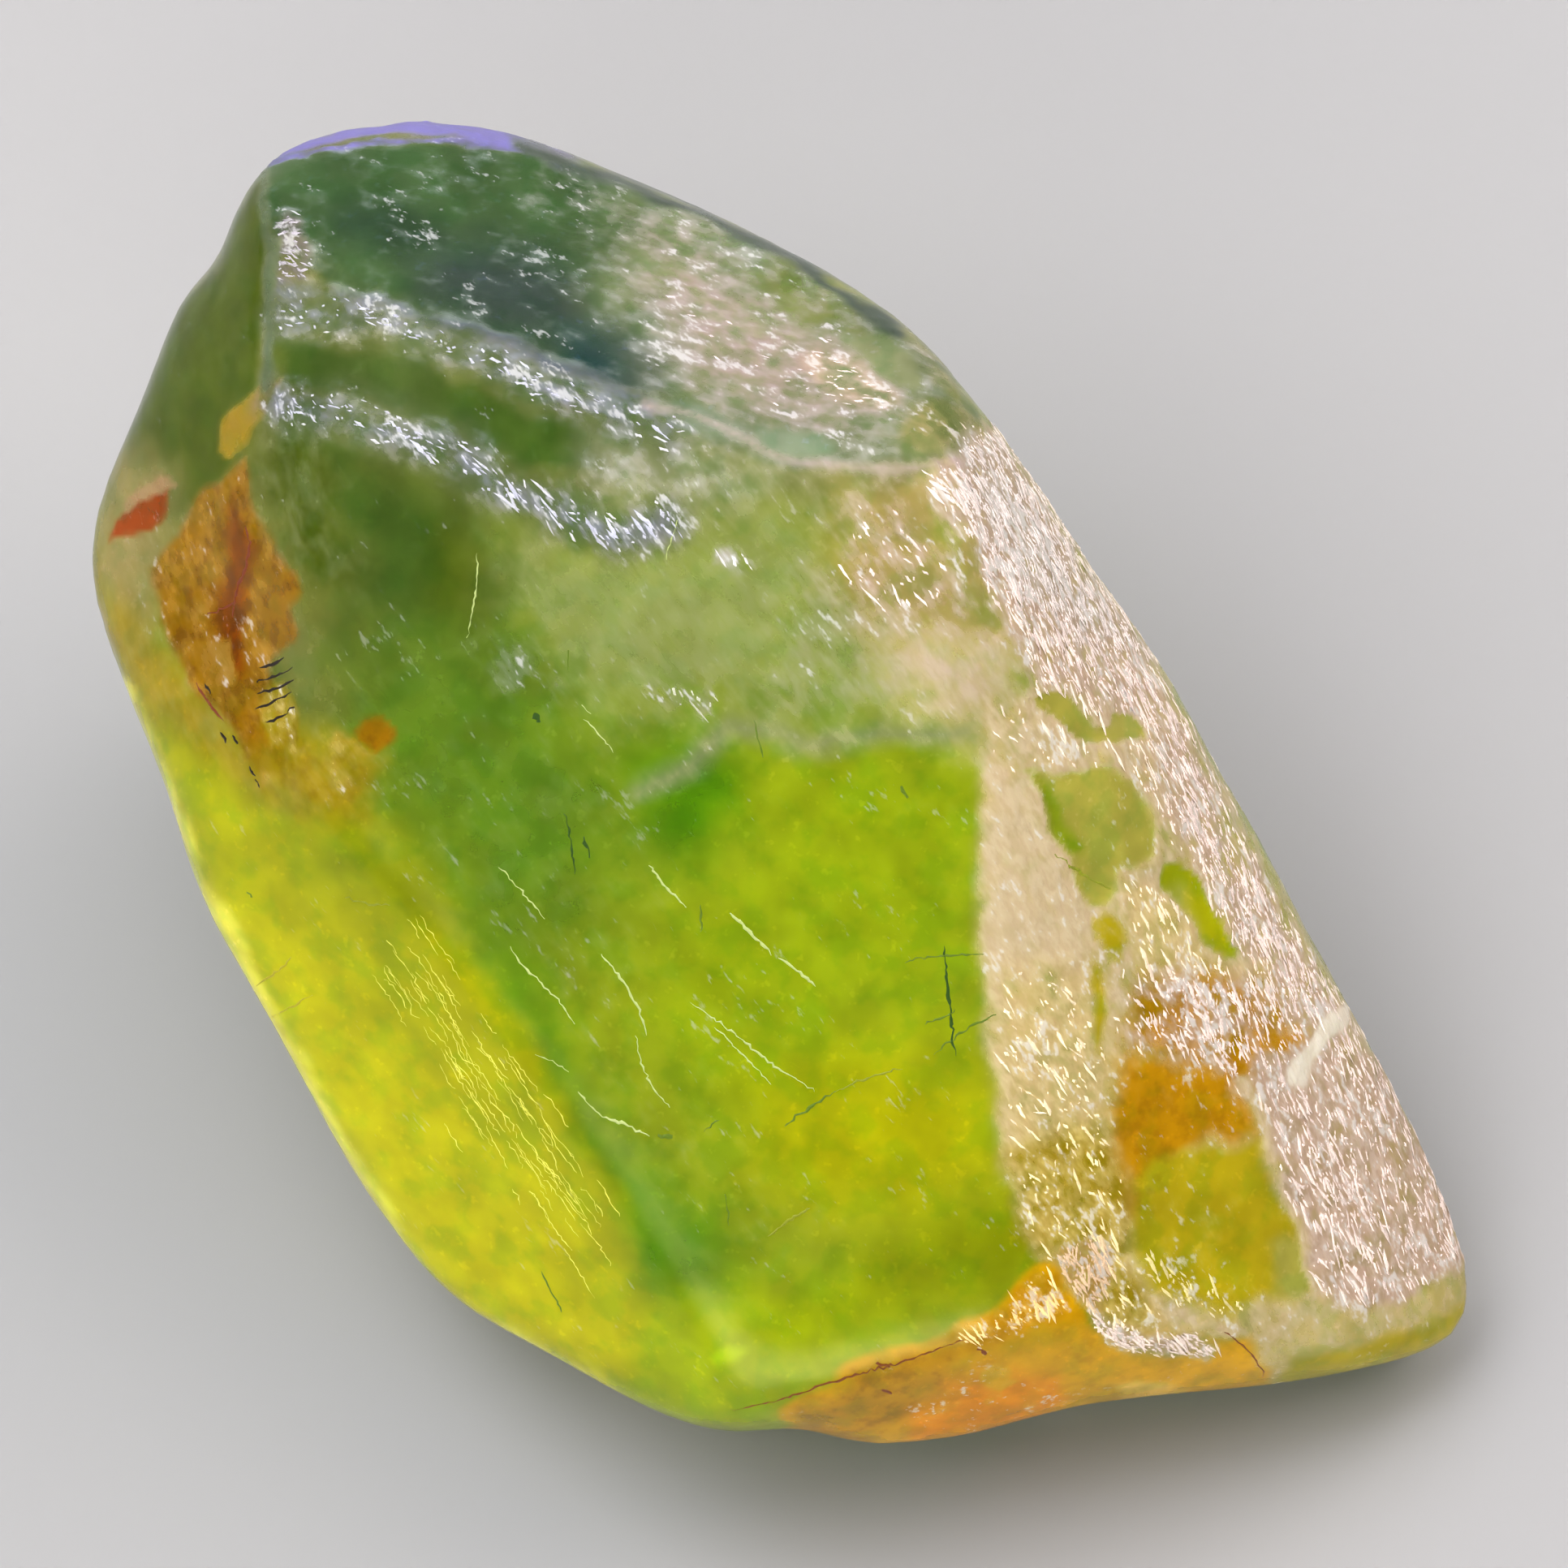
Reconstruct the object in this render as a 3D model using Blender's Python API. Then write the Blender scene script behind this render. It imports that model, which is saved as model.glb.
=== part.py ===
"""Rough peridot crystal, worn by water, lying on the flat of its underside.

The stone is described as seen from its broad side, in millimetres: u runs to the right, v runs up and w
runs towards the viewer, all from the middle of its outline. It is then leaned back and turned, so that the
flat underside is level and the long axis lies along X.
"""

import math
from collections import namedtuple

import bmesh
import bpy
import numpy as np
from mathutils import Matrix, Vector, noise

MM = 0.001

# Driving dimensions, in millimetres and degrees
BROAD_SIDE_LEAN = 18.0
LONG_AXIS_TURN = 45.0
MIDDLE_HEIGHT = 6.4
UNDERSIDE_CUT = 0.12
GIRDLE_BAND = 1.1
UNDERCUT_ANGLE = 22.0
UNDERCUT_TURN = 0.5
GIRDLE_STEPS = 360
GIRDLE_LEVELLING = 14
UNDERCUT_SMOOTHING = 9
WORN_EDGE = 0.16
WEAR_ALLOWANCE = 0.06
LONG_AXIS_ANGLE = -43.0
HALF_AXES = (14.5, 9.0, 7.0)
UNDULATION = 0.10
UNDULATION_SIZE = 3.4
UNDULATION_SEED = Vector((11.3, 4.7, 8.1))
SOFTENING_PASSES = 2
FINEST_BALL = 6
KEPT_SHARE = 0.42

# Outline of the broad side, clockwise from the upper left corner
OUTLINE = (
    (-9.3, 11.0),
    (-8.4, 11.6),
    (-7.0, 11.9),
    (-5.3, 11.7),
    (-2.7, 10.7),
    (0.2, 9.4),
    (2.0, 8.2),
    (3.0, 7.1),
    (4.4, 5.3),
    (6.2, 2.7),
    (7.4, 0.6),
    (9.8, -3.6),
    (11.9, -7.5),
    (12.7, -8.8),
    (12.4, -9.9),
    (11.0, -10.4),
    (8.7, -10.8),
    (5.2, -11.1),
    (3.0, -11.8),
    (1.6, -11.9),
    (0.6, -11.7),
    (0.2, -11.4),
    (-1.1, -11.7),
    (-2.7, -11.2),
    (-4.1, -10.4),
    (-6.1, -9.4),
    (-6.8, -8.5),
    (-8.4, -5.9),
    (-10.3, -2.5),
    (-11.1, -0.2),
    (-12.45, 3.2),
    (-12.75, 4.2),
    (-11.6, 6.7),
    (-10.9, 8.6),
    (-10.15, 9.3),
    (-10.0, 9.9),
)

Facet = namedtuple("Facet", "point slope_u slope_v")

# Facets that the broad side shows: a point on each, and how w changes along u and along v
FACETS = {
    "crown": Facet((-7.0, 11.35, 1.95), 0.05, -1.70),
    "corner": Facet((-9.15, 7.0, 4.6), 1.45, -0.35),
    "stained": Facet((-8.6, 2.5, 4.2), 1.00, 0.08),
    "broad": Facet((0.0, 0.0, 5.35), 0.05, 0.10),
    "broad left": Facet((-2.2, 0.0, 5.0), 0.17, 0.20),
    "broad lower": Facet((0.0, 0.8, 5.4), 0.02, 0.26),
    "lower left": Facet((-5.8, -2.7, 4.1), 0.75, 0.68),
    "strip": Facet((3.5, 0.9, 5.5), -0.45, 0.24),
    "right side": Facet((4.7, 1.5, 5.05), -1.40, -0.50),
    "right corner": Facet((8.9, -7.2, 1.1), -0.85, 0.05),
    "lower end": Facet((0.0, -10.9, 2.3), -0.35, 1.60),
}

# The upper face is hinged on this curved ridge and falls away from it towards the top of the outline
UPPER_RIDGE = (
    (-9.6, 9.8, 3.7),
    (-8.2, 8.8, 4.5),
    (-6.4, 7.75, 5.4),
    (-4.7, 7.0, 5.8),
    (-1.6, 6.1, 5.9),
    (0.7, 5.55, 5.95),
    (2.7, 5.7, 6.0),
    (4.4, 6.2, 5.9),
)
UPPER_SLOPE = -0.95

# Facets of the hidden underside: bearing of the way each faces, how far it looks down, and how deep it
# bites past the girdle
UNDER_FACETS = ((105.0, 30.0, 0.0), (40.0, 36.0, 0.1), (170.0, 38.0, 0.1), (-45.0, 34.0, 0.0), (235.0, 44.0, 0.0))

Groove = namedtuple("Groove", "path radius")

# Hollows scooped from the broad side: points along each, and the radius of the scoop
GROOVES = (
    Groove(
        (
            (-9.1, 8.7, 5.0),
            (-7.7, 7.95, 6.0),
            (-6.4, 7.25, 6.5),
            (-4.7, 6.35, 6.6),
            (-3.2, 5.75, 6.65),
            (-1.8, 5.55, 6.85),
        ),
        1.3,
    ),
    Groove(((-11.9, 3.6, 3.4), (-9.9, 1.4, 4.9)), 1.7),
)


def smooth_closed_curve(corners, steps=6):
    """Points along the smooth curve that passes through the corners in turn."""
    corners = np.array(corners)
    before = np.roll(corners, 1, axis=0)
    after = np.roll(corners, -1, axis=0)
    beyond = np.roll(corners, -2, axis=0)
    spans = []
    for share in np.arange(steps) / steps:
        spans.append(
            corners
            + 0.5 * share * (after - before)
            + share**2 * (before - 2.5 * corners + 2.0 * after - 0.5 * beyond)
            + share**3 * (1.5 * (corners - after) + 0.5 * (beyond - before))
        )
    return np.stack(spans, axis=1).reshape(-1, corners.shape[1])


def radius_by_angle(points):
    """A function that gives the curve's distance from the middle for any angle."""
    angles = np.arctan2(points[:, 1], points[:, 0])
    order = np.argsort(angles)
    reach = np.hypot(points[:, 0], points[:, 1]) + WEAR_ALLOWANCE
    return lambda wanted: np.interp(wanted, angles[order], reach[order], period=2 * math.pi)


def facet_gap(points, facet):
    """How far each point stands out of a facet."""
    u, v, w = (points - np.array(facet.point)).T
    return (w - facet.slope_u * u - facet.slope_v * v) / math.sqrt(1 + facet.slope_u**2 + facet.slope_v**2)


def facet_height(facet, u, v):
    """The w of a facet over a place of the broad side."""
    return facet.point[2] + facet.slope_u * (u - facet.point[0]) + facet.slope_v * (v - facet.point[1])


def upper_face_height(u, v):
    """The w of the upper face over a place of the broad side."""
    along, ridge, height = np.array(UPPER_RIDGE).T
    return np.interp(u, along, height) + UPPER_SLOPE * (v - np.interp(u, along, ridge))


def groove_gap(points, groove):
    """How deep each point lies in the round channel along the groove's path."""
    nearest = np.full(len(points), np.inf)
    for start, end in zip(groove.path, groove.path[1:]):
        start, run = np.array(start), np.array(end) - np.array(start)
        share = np.clip((points - start) @ run / (run @ run), 0, 1)
        nearest = np.minimum(nearest, np.linalg.norm(points - start - share[:, None] * run, axis=1))
    return groove.radius - nearest


def lean_matrix():
    """From the broad side's own axes to level ground."""
    lean = Matrix.Rotation(math.radians(BROAD_SIDE_LEAN), 3, "X")
    return np.array(lean)


def girdle_line():
    """The widest line round the stone, just under the edge of the facets, level with its neighbourhood."""
    turn = 2 * math.pi * np.arange(GIRDLE_STEPS) / GIRDLE_STEPS
    reach = radius_by_angle(smooth_closed_curve(OUTLINE))(turn)
    u, v = reach * np.cos(turn), reach * np.sin(turn)
    heights = [facet_height(facet, u, v) for facet in FACETS.values()] + [upper_face_height(u, v)]
    heights = np.min(heights, axis=0)
    nearby = range(-GIRDLE_LEVELLING, GIRDLE_LEVELLING + 1)
    level = np.mean([np.roll(heights, step) for step in nearby], axis=0)
    return np.column_stack([u, v, level - GIRDLE_BAND])


def undercut_gap(girdle):
    """A function for how far points stand out of the wall that leans in below the girdle."""
    turn = np.arctan2(girdle[:, 1], girdle[:, 0])
    reach = np.hypot(girdle[:, 0], girdle[:, 1])
    nearby = range(-UNDERCUT_SMOOTHING, UNDERCUT_SMOOTHING + 1)
    wide = np.max([np.roll(reach, step) for step in nearby], axis=0)
    wide = np.mean([np.roll(wide, step) for step in nearby], axis=0)
    order = np.argsort(turn)

    def gap(points):
        angle = np.arctan2(points[:, 1], points[:, 0])
        height = np.interp(angle, turn[order], girdle[order, 2], period=2 * math.pi)
        out = np.hypot(points[:, 0], points[:, 1]) - np.interp(angle, turn[order], wide[order], period=2 * math.pi)
        lean = np.radians(UNDERCUT_ANGLE + BROAD_SIDE_LEAN * UNDERCUT_TURN * np.sin(angle))
        return out * np.cos(lean) + (height - points[:, 2]) * np.sin(lean)

    return gap


def under_facets(girdle):
    """The way each facet of the underside faces on the levelled stone, and how far out it just grazes the girdle."""
    facets = []
    for bearing, dip, bite in UNDER_FACETS:
        bearing, dip = math.radians(bearing), math.radians(dip)
        facing = np.array(
            (math.cos(bearing) * math.cos(dip), math.sin(bearing) * math.cos(dip), -math.sin(dip))
        )
        facets.append((facing, (girdle @ facing).max() - bite))
    return facets


def rounded_max(gaps):
    """The largest gap, with the edges where facets meet worn round."""
    gaps = np.array(gaps) / WORN_EDGE
    top = gaps.max(axis=0)
    return WORN_EDGE * (top + np.log(np.exp(gaps - top).sum(axis=0)))


def stone_gap_function():
    """A function for how far points stand out of the whole stone, in the broad side's axes."""
    outline_reach = radius_by_angle(smooth_closed_curve(OUTLINE))
    girdle = girdle_line()
    undercut = undercut_gap(girdle)
    lean = lean_matrix()
    undersides = under_facets(girdle @ lean.T)

    def gap(points):
        level = points @ lean.T
        gaps = [facet_gap(points, facet) for facet in FACETS.values()]
        over_upper_face = points[:, 2] - upper_face_height(points[:, 0], points[:, 1])
        gaps.append(over_upper_face / math.hypot(1, UPPER_SLOPE))
        angle = np.arctan2(points[:, 1], points[:, 0])
        gaps.append(np.hypot(points[:, 0], points[:, 1]) - outline_reach(angle))
        gaps.append(undercut(points))
        gaps += [level @ facing - distance for facing, distance in undersides]
        gaps += [groove_gap(points, groove) for groove in GROOVES]
        gaps.append(-MIDDLE_HEIGHT - level[:, 2])
        return rounded_max(gaps)

    return gap


def distance_to_surface(rays, halvings=26):
    """How many times its own length each ray from the middle goes before it leaves the stone."""
    gap = stone_gap_function()
    near, far = np.zeros(len(rays)), np.full(len(rays), 3.0)
    for _ in range(halvings):
        middle = 0.5 * (near + far)
        inside = gap(rays * middle[:, None]) < 0
        near, far = np.where(inside, middle, near), np.where(inside, far, middle)
    return near


def unworn_ball(mesh):
    """A fine ball stretched along the stone's long axis."""
    bmesh.ops.create_icosphere(mesh, subdivisions=FINEST_BALL, radius=1.0)
    turn = Matrix.Rotation(math.radians(LONG_AXIS_ANGLE), 3, "Z")
    bmesh.ops.transform(mesh, matrix=(turn @ Matrix.Diagonal(HALF_AXES)).to_4x4(), verts=mesh.verts)


def wear(point):
    """How far the low swells of the worn surface lift or sink it."""
    return UNDULATION * noise.noise(point / UNDULATION_SIZE + UNDULATION_SEED)


def carve(mesh):
    """Moves every point of the ball along its ray to the surface of the stone."""
    rays = np.array([vertex.co for vertex in mesh.verts])
    reach = distance_to_surface(rays)
    for vertex, share in zip(mesh.verts, reach):
        point = vertex.co * share
        vertex.co = point + point.normalized() * wear(point)


def soften(mesh):
    """Evens out the tooth marks that the finest creases leave between the points."""
    for _ in range(SOFTENING_PASSES):
        bmesh.ops.smooth_vert(mesh, verts=mesh.verts, factor=0.5, use_axis_x=True, use_axis_y=True, use_axis_z=True)


def lay_down(mesh):
    """Leans the stone back onto its underside and turns its long axis along X."""
    lean = Matrix.Rotation(math.radians(BROAD_SIDE_LEAN), 3, "X")
    turn = Matrix.Rotation(math.radians(LONG_AXIS_TURN), 3, "Z")
    bmesh.ops.transform(mesh, matrix=(turn @ lean * MM).to_4x4(), verts=mesh.verts)


def cut_underside(mesh):
    """Takes off the lowest skin, so that the stone rests on one true plane."""
    height = (UNDERSIDE_CUT - MIDDLE_HEIGHT) * MM
    geometry = mesh.verts[:] + mesh.edges[:] + mesh.faces[:]
    cut = bmesh.ops.bisect_plane(
        mesh,
        geom=geometry,
        dist=1e-7,
        plane_co=(0, 0, height),
        plane_no=(0, 0, -1),
        clear_outer=True,
    )
    rim = [item for item in cut["geom_cut"] if isinstance(item, bmesh.types.BMEdge)]
    bmesh.ops.contextual_create(mesh, geom=rim)
    bmesh.ops.recalc_face_normals(mesh, faces=mesh.faces)


def centre_on_ground(mesh):
    """Puts the middle of the stone's base box at the origin."""
    points = np.array([vertex.co for vertex in mesh.verts])
    low, high = points.min(axis=0), points.max(axis=0)
    shift = Vector((-(low[0] + high[0]) / 2, -(low[1] + high[1]) / 2, -low[2]))
    bmesh.ops.translate(mesh, vec=shift, verts=mesh.verts)


def peridot_material():
    """Olive green, see-through, with a worn and slightly frosted skin."""
    material = bpy.data.materials.new("peridot")
    material.use_nodes = True
    shader = material.node_tree.nodes["Principled BSDF"]
    shader.inputs["Base Color"].default_value = (0.26, 0.42, 0.04, 1)
    shader.inputs["Roughness"].default_value = 0.35
    shader.inputs["Metallic"].default_value = 0.0
    shader.inputs["IOR"].default_value = 1.67
    shader.inputs["Transmission Weight"].default_value = 0.8
    return material


def thinned(mesh):
    """The carved stone with fewer triangles, most of them kept along its edges."""
    helper_mesh = bpy.data.meshes.new("carved")
    mesh.to_mesh(helper_mesh)
    helper = bpy.data.objects.new("carved", helper_mesh)
    bpy.context.scene.collection.objects.link(helper)
    thin = helper.modifiers.new("Thin", "DECIMATE")
    thin.ratio = KEPT_SHARE
    bpy.context.view_layer.update()
    kept = bpy.data.meshes.new_from_object(helper.evaluated_get(bpy.context.evaluated_depsgraph_get()))
    bpy.data.objects.remove(helper, do_unlink=True)
    bpy.data.meshes.remove(helper_mesh)
    return kept


def make_crystal():
    carved = bmesh.new()
    unworn_ball(carved)
    carve(carved)
    soften(carved)
    lay_down(carved)
    kept = thinned(carved)
    carved.free()
    stone = bmesh.new()
    stone.from_mesh(kept)
    cut_underside(stone)
    centre_on_ground(stone)
    stone.to_mesh(kept)
    stone.free()
    kept.name = "peridot_crystal"
    kept.shade_smooth()
    kept.set_sharp_from_angle(angle=math.radians(40))
    crystal = bpy.data.objects.new("peridot_crystal", kept)
    crystal.data.materials.append(peridot_material())
    bpy.context.scene.collection.objects.link(crystal)


def main():
    for thing in list(bpy.data.objects):
        bpy.data.objects.remove(thing, do_unlink=True)
    make_crystal()


main()
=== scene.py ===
"""Looks of the peridot crystal, a rough gem worn by water, which lies on the flat of its underside.

The stone is worked on as its broad side is seen, in millimetres: u runs to the right, v runs up and w runs
towards the viewer, all from the middle of its outline. Places named in pixels are in the photograph's own
frame of 1932 x 1932, with x to the right and y down.
"""

import math
from collections import namedtuple

import bmesh
import bpy
import numpy as np
from mathutils import Matrix, Vector
from mathutils.bvhtree import BVHTree


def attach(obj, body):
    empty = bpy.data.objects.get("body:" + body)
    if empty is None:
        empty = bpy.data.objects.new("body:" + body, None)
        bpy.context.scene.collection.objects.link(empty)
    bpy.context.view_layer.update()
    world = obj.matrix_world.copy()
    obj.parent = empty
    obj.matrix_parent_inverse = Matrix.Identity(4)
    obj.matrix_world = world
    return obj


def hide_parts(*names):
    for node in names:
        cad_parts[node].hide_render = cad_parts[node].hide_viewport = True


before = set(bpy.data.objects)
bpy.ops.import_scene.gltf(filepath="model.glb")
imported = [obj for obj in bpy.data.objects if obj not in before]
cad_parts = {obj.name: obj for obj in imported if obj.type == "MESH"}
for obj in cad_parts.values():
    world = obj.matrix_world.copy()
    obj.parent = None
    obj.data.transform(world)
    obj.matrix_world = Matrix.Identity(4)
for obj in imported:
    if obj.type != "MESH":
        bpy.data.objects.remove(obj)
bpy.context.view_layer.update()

MM = 0.001

# How the photograph sees the stone: its frame in pixels, the stone in millimetres, the camera in metres
PHOTO_SIDE = 1932
PHOTO_MIDDLE = (963.5, 964.5)
MM_PER_PIXEL = 0.0145
BROAD_SIDE_LEAN = math.radians(18)
LONG_AXIS_TURN = math.radians(45)
MIDDLE_ABOVE_FLOOR = 6.28
CAMERA_DISTANCE = 0.5
GIRDLE_PLANE = 1.0

# How the rubbed skin's grain and the ridges' grain run down to the right, in degrees, and the height in the
# photograph over which the ridges' grain turns into the rubbed skin's
RUBBED_SLOPE = -54
RIDGE_SLOPE = -24
GRAIN_CHANGE = (500, 640)

# How far the edges of the coloured areas wander, in pixels, in swings of this size in millimetres
EDGE_WANDER = 18
EDGE_WANDER_SIZE = 0.9

# The facing towards the viewer from which the photographed look fades in. The other sides are rubbed this
# strongly, in patches of this size in millimetres
SEEN_FACING = (-0.14, 0.05)
HIDDEN_WEAR = 0.55
HIDDEN_PATCH_SIZE = 2.4

# The mesh: its first squares in millimetres, the facing from which it is cut finer, and how often it is
# evened out before and after that
VOXEL = 0.212
FINE_FACING = -0.15
EVENING_PASSES = 6
LAST_EVENING_PASSES = 2

# Relief of the skin in millimetres: heights and depths where it is fully rubbed or pitted, the lengths and
# widths of what stands out, and the height above the floor over which the relief fades in
GRAIN_HEIGHT = 0.050
LUMP_HEIGHT = 0.025
POCK_DEPTH = 0.075
PITTED_LUMP_HEIGHT = 0.018
SWELL_HEIGHT = 0.02
SKIN_DEPTH = 0.03
RUBBED_SIZE = (0.9, 0.24)
RIDGE_SIZE = (0.8, 0.26)
LUMP_SIZE = 0.42
POCK_SIZE = 0.24
SWELL_SIZE = 1.9
SMOOTH_ABOVE_FLOOR = (0.05, 0.5)

# Peridot as glass, and the patches in it and on it, in metres
PERIDOT_IOR = 1.67
PERIDOT_ABSORPTION = (0.72, 0.86, 0.0, 1)
ABSORPTION_DENSITY = 280.0
CLUSTER_SIZE = 0.0011
FILM_PATCH_SIZE = 0.00045
MOTTLE_SIZE = 0.0009
DEEP_PATCH_SIZE = 0.0006
RUST_VEIN_SIZE = 0.00032

# What the glass is multiplied by where it is deeper and paler, and the dull skin where painted shade lies in
# the gaps of its grain, as light
DEEPER_CAST = (0.62, 0.86, 0.70, 1)
PALER_CAST = (1.5, 1.35, 2.4, 1)
GAP_SHADE_CAST = (0.70, 0.55, 0.45, 1)
RUST_COLOUR = (0.13, 0.030, 0.002, 1)
WHITE = (1.0, 1.0, 1.0, 1)
GLOSS_TINT = (1.0, 0.97, 0.4, 1)

# Grains of the worn skin: slope in degrees, then length, width and speck size in metres
RUBBED_GRAIN = (RUBBED_SLOPE, 0.00046, 0.00015, 0.00022)
RIDGE_GRAIN = (RIDGE_SLOPE, 0.00046, 0.00022, 0.00016)
FINE_GRAIN = (RUBBED_SLOPE, 0.00018, 0.00007, 0.00006)
SKIN_BUMP = 0.00004
CHIP_BUMP = 0.00002

# How a place of the photograph is found on the stone: first height and start of the look, in millimetres
FIRST_HEIGHT = 5.0
ABOVE_STONE = 20
LOOKS = 3

# Ribs that stand for scratches and needles: steps and wobble in pixels, the share of a mark's width that half
# a rib takes up, from thin to thick, and how far it is sunk and how wide it is at full rise, in millimetres
RIB_STEP = 5.0
RIB_WOBBLE = 0.9
RIB_SHARE = 0.3
RIB_UNEVENNESS = (0.3, 1.2)
RIB_SINK = 0.03
RIB_FULL_RISE = 0.02

# Chips: least and most length, width and thickness in millimetres, how far they tip along and across the
# grain, and their own finer grain
SMALL_CHIP = ((0.07, 0.30), (0.035, 0.10), (0.008, 0.024))
LONG_CHIP = ((0.22, 0.62), (0.05, 0.11), (0.008, 0.022))
CHIP_TIPS = (0.12, 0.25)
CHIP_GRAIN = (RUBBED_SLOPE, 0.0003, 0.00008)

# Fine scratches across the flank, in pixels: the first place, the run and the spread of the field, then each
# scratch's length, width and bend, its slope in degrees and how far it strays from that, in radians
STRIATION_START = (478, 1150)
STRIATION_RUN = (250, 370)
STRIATION_SPREAD = (40, -30)
STRIATION_LENGTH = (14, 80)
STRIATION_WIDTH = (1.7, 3.0)
STRIATION_BEND = 2
STRIATION_SLOPE = 57
STRIATION_STRAY = 0.05
STRIATION_COUNT = 110

# The room
LIGHT_DISTANCE = 0.7
FLOOR_COLOUR = (0.29, 0.29, 0.288, 1)
FLOOR_HALF_SIDE = 2.0
FLOOR_GAP = 0.00002
SKY_COLOUR = (0.92, 0.94, 1.0, 1)
SKY_STRENGTH = 0.15

# Colours of the glass, from 0 to 255
TEAL = (30, 65, 70)
NIGHT_GREEN = (45, 70, 50)
SLATE = (60, 75, 70)
DARK_FERN = (65, 92, 28)
DARK_OLIVE = (75, 92, 10)
BOTTLE_GREEN = (70, 98, 58)
GREY_FERN = (95, 110, 70)
FERN = (90, 115, 32)
LEAF_GREEN = (97, 132, 25)
GRASS_GREEN = (85, 138, 2)
MOSS = (115, 120, 50)
KHAKI = (125, 132, 75)
SAGE = (142, 148, 105)
PALE_TEAL = (135, 150, 122)
PALE_GREEN = (138, 153, 62)
OLIVE = (142, 153, 2)
OLIVE_GREEN = (145, 161, 25)
LIME = (151, 170, 12)
BRIGHT_LIME = (165, 183, 2)
VIVID_GREEN = (190, 215, 2)
YELLOW_GREEN = (182, 181, 2)
# painted glow along the lower left rim
YELLOW = (210, 201, 2)
LEMON_GLOW = (252, 244, 75)
WINDOW_GREEN = (180, 172, 70)
HONEY = (190, 170, 20)
DRAB = (155, 140, 80)
SAND = (172, 152, 86)
BEIGE = (203, 185, 110)
CLAY = (185, 140, 100)
OCHRE = (165, 140, 12)
BROWN = (155, 107, 2)
RUST_BROWN = (138, 64, 2)
RED = (165, 62, 2)
AMBER = (205, 145, 5)
DEEP_GOLD = (234, 172, 2)
ORANGE = (250, 152, 4)
# painted violet reflection on the crown's glass
VIOLET_REFLECTION = (126, 120, 168)

# Colours of the dull or broken skin, partly painted sheen of the lights: warm pinks and creams, silver and
# blue-grey on the ridges, violet on the crown
STEEL_SHEEN = (65, 80, 103)
MAUVE = (120, 108, 120)
GREY_GREEN = (122, 134, 118)
DULL_GREEN = (160, 172, 118)
VEIL_GREEN = (165, 168, 122)
PALE_SAGE = (198, 197, 137)
PALE_LIME = (208, 218, 115)
PALE_YELLOW = (235, 228, 120)
BLUE_GREY = (144, 147, 170)
SILVER = (190, 205, 202)
PEARL = (208, 203, 200)
# painted violet reflections on the crown
BRIGHT_VIOLET_REFLECTION = (138, 130, 212)
PALE_VIOLET_REFLECTION = (158, 150, 196)
GREY_PINK = (188, 166, 165)
PINK = (207, 178, 186)
ROSE = (215, 188, 172)
GREY_ROSE = (202, 187, 176)
PEACH = (222, 160, 100)
TAN = (180, 158, 110)
TAWNY = (182, 135, 58)
GOLD_BROWN = (212, 158, 62)
PALE_OCHRE = (205, 190, 112)
STRAW_GOLD = (232, 205, 115)
GOLDEN_CREAM = (232, 205, 148)
CREAM = (227, 203, 167)
BRIGHT_GOLD = (255, 202, 78)
# painted highlight
HIGHLIGHT_WHITE = (253, 243, 226)

# Colours of the scratches, needles and ticks
PALE_SCRATCH = (160, 173, 105)
STRAW = (208, 204, 78)
NEEDLE_DARK = (38, 65, 12)
NEEDLE_GREEN = (78, 100, 10)
NEEDLE_OLIVE = (115, 122, 12)
NEEDLE_YELLOW = (150, 140, 8)
NEEDLE_BROWN = (105, 52, 5)
TICK_BLACK = (26, 18, 8)
IRON_BROWN = (98, 40, 8)


def srgb(red, green, blue):
    """A colour from 0 to 255 as the light values that the shaders work in."""
    shares = np.array((red, green, blue)) / 255
    return tuple(np.where(shares <= 0.04045, shares / 12.92, ((shares + 0.055) / 1.055) ** 2.4))


# The broad side's own axes


def broad_side_axes():
    """The axes u, v and w as the columns of a matrix, and the middle of the stone's outline, in metres."""
    turn = Matrix.Rotation(LONG_AXIS_TURN, 3, "Z") @ Matrix.Rotation(BROAD_SIDE_LEAN, 3, "X")
    axes = np.array(turn)
    corners = np.array([vertex.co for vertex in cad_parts["peridot_crystal"].data.vertices]) @ axes
    middle = (corners.min(axis=0) + corners.max(axis=0)) / 2
    across = axes[:, 0] * middle[0] + axes[:, 1] * middle[1]
    rise = (MIDDLE_ABOVE_FLOOR * MM - across[2]) / axes[2, 2]
    return axes, across + axes[:, 2] * rise


AXES, MIDDLE = broad_side_axes()


def to_broad_side(points):
    """Points in metres of the room, as u, v and w in millimetres."""
    return (np.asarray(points) - MIDDLE) @ AXES / MM


def to_room(points):
    """Points given as u, v and w in millimetres, in metres of the room."""
    return np.asarray(points) @ AXES.T * MM + MIDDLE


def to_pixels(points):
    """Where the photograph shows points given as u, v and w."""
    nearness = 1 / (1 - (points[:, 2] - GIRDLE_PLANE) * MM / CAMERA_DISTANCE) / MM_PER_PIXEL
    return PHOTO_MIDDLE + points[:, :2] * (1, -1) * nearness[:, None]


def from_pixels(places):
    """The u and v of pixels of the photograph."""
    return (np.asarray(places, float) - PHOTO_MIDDLE) * (1, -1) * MM_PER_PIXEL


# Noise and masks


def smooth_step(low, high, values):
    share = np.clip((values - low) / (high - low), 0, 1)
    return share * share * (3 - 2 * share)


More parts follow.
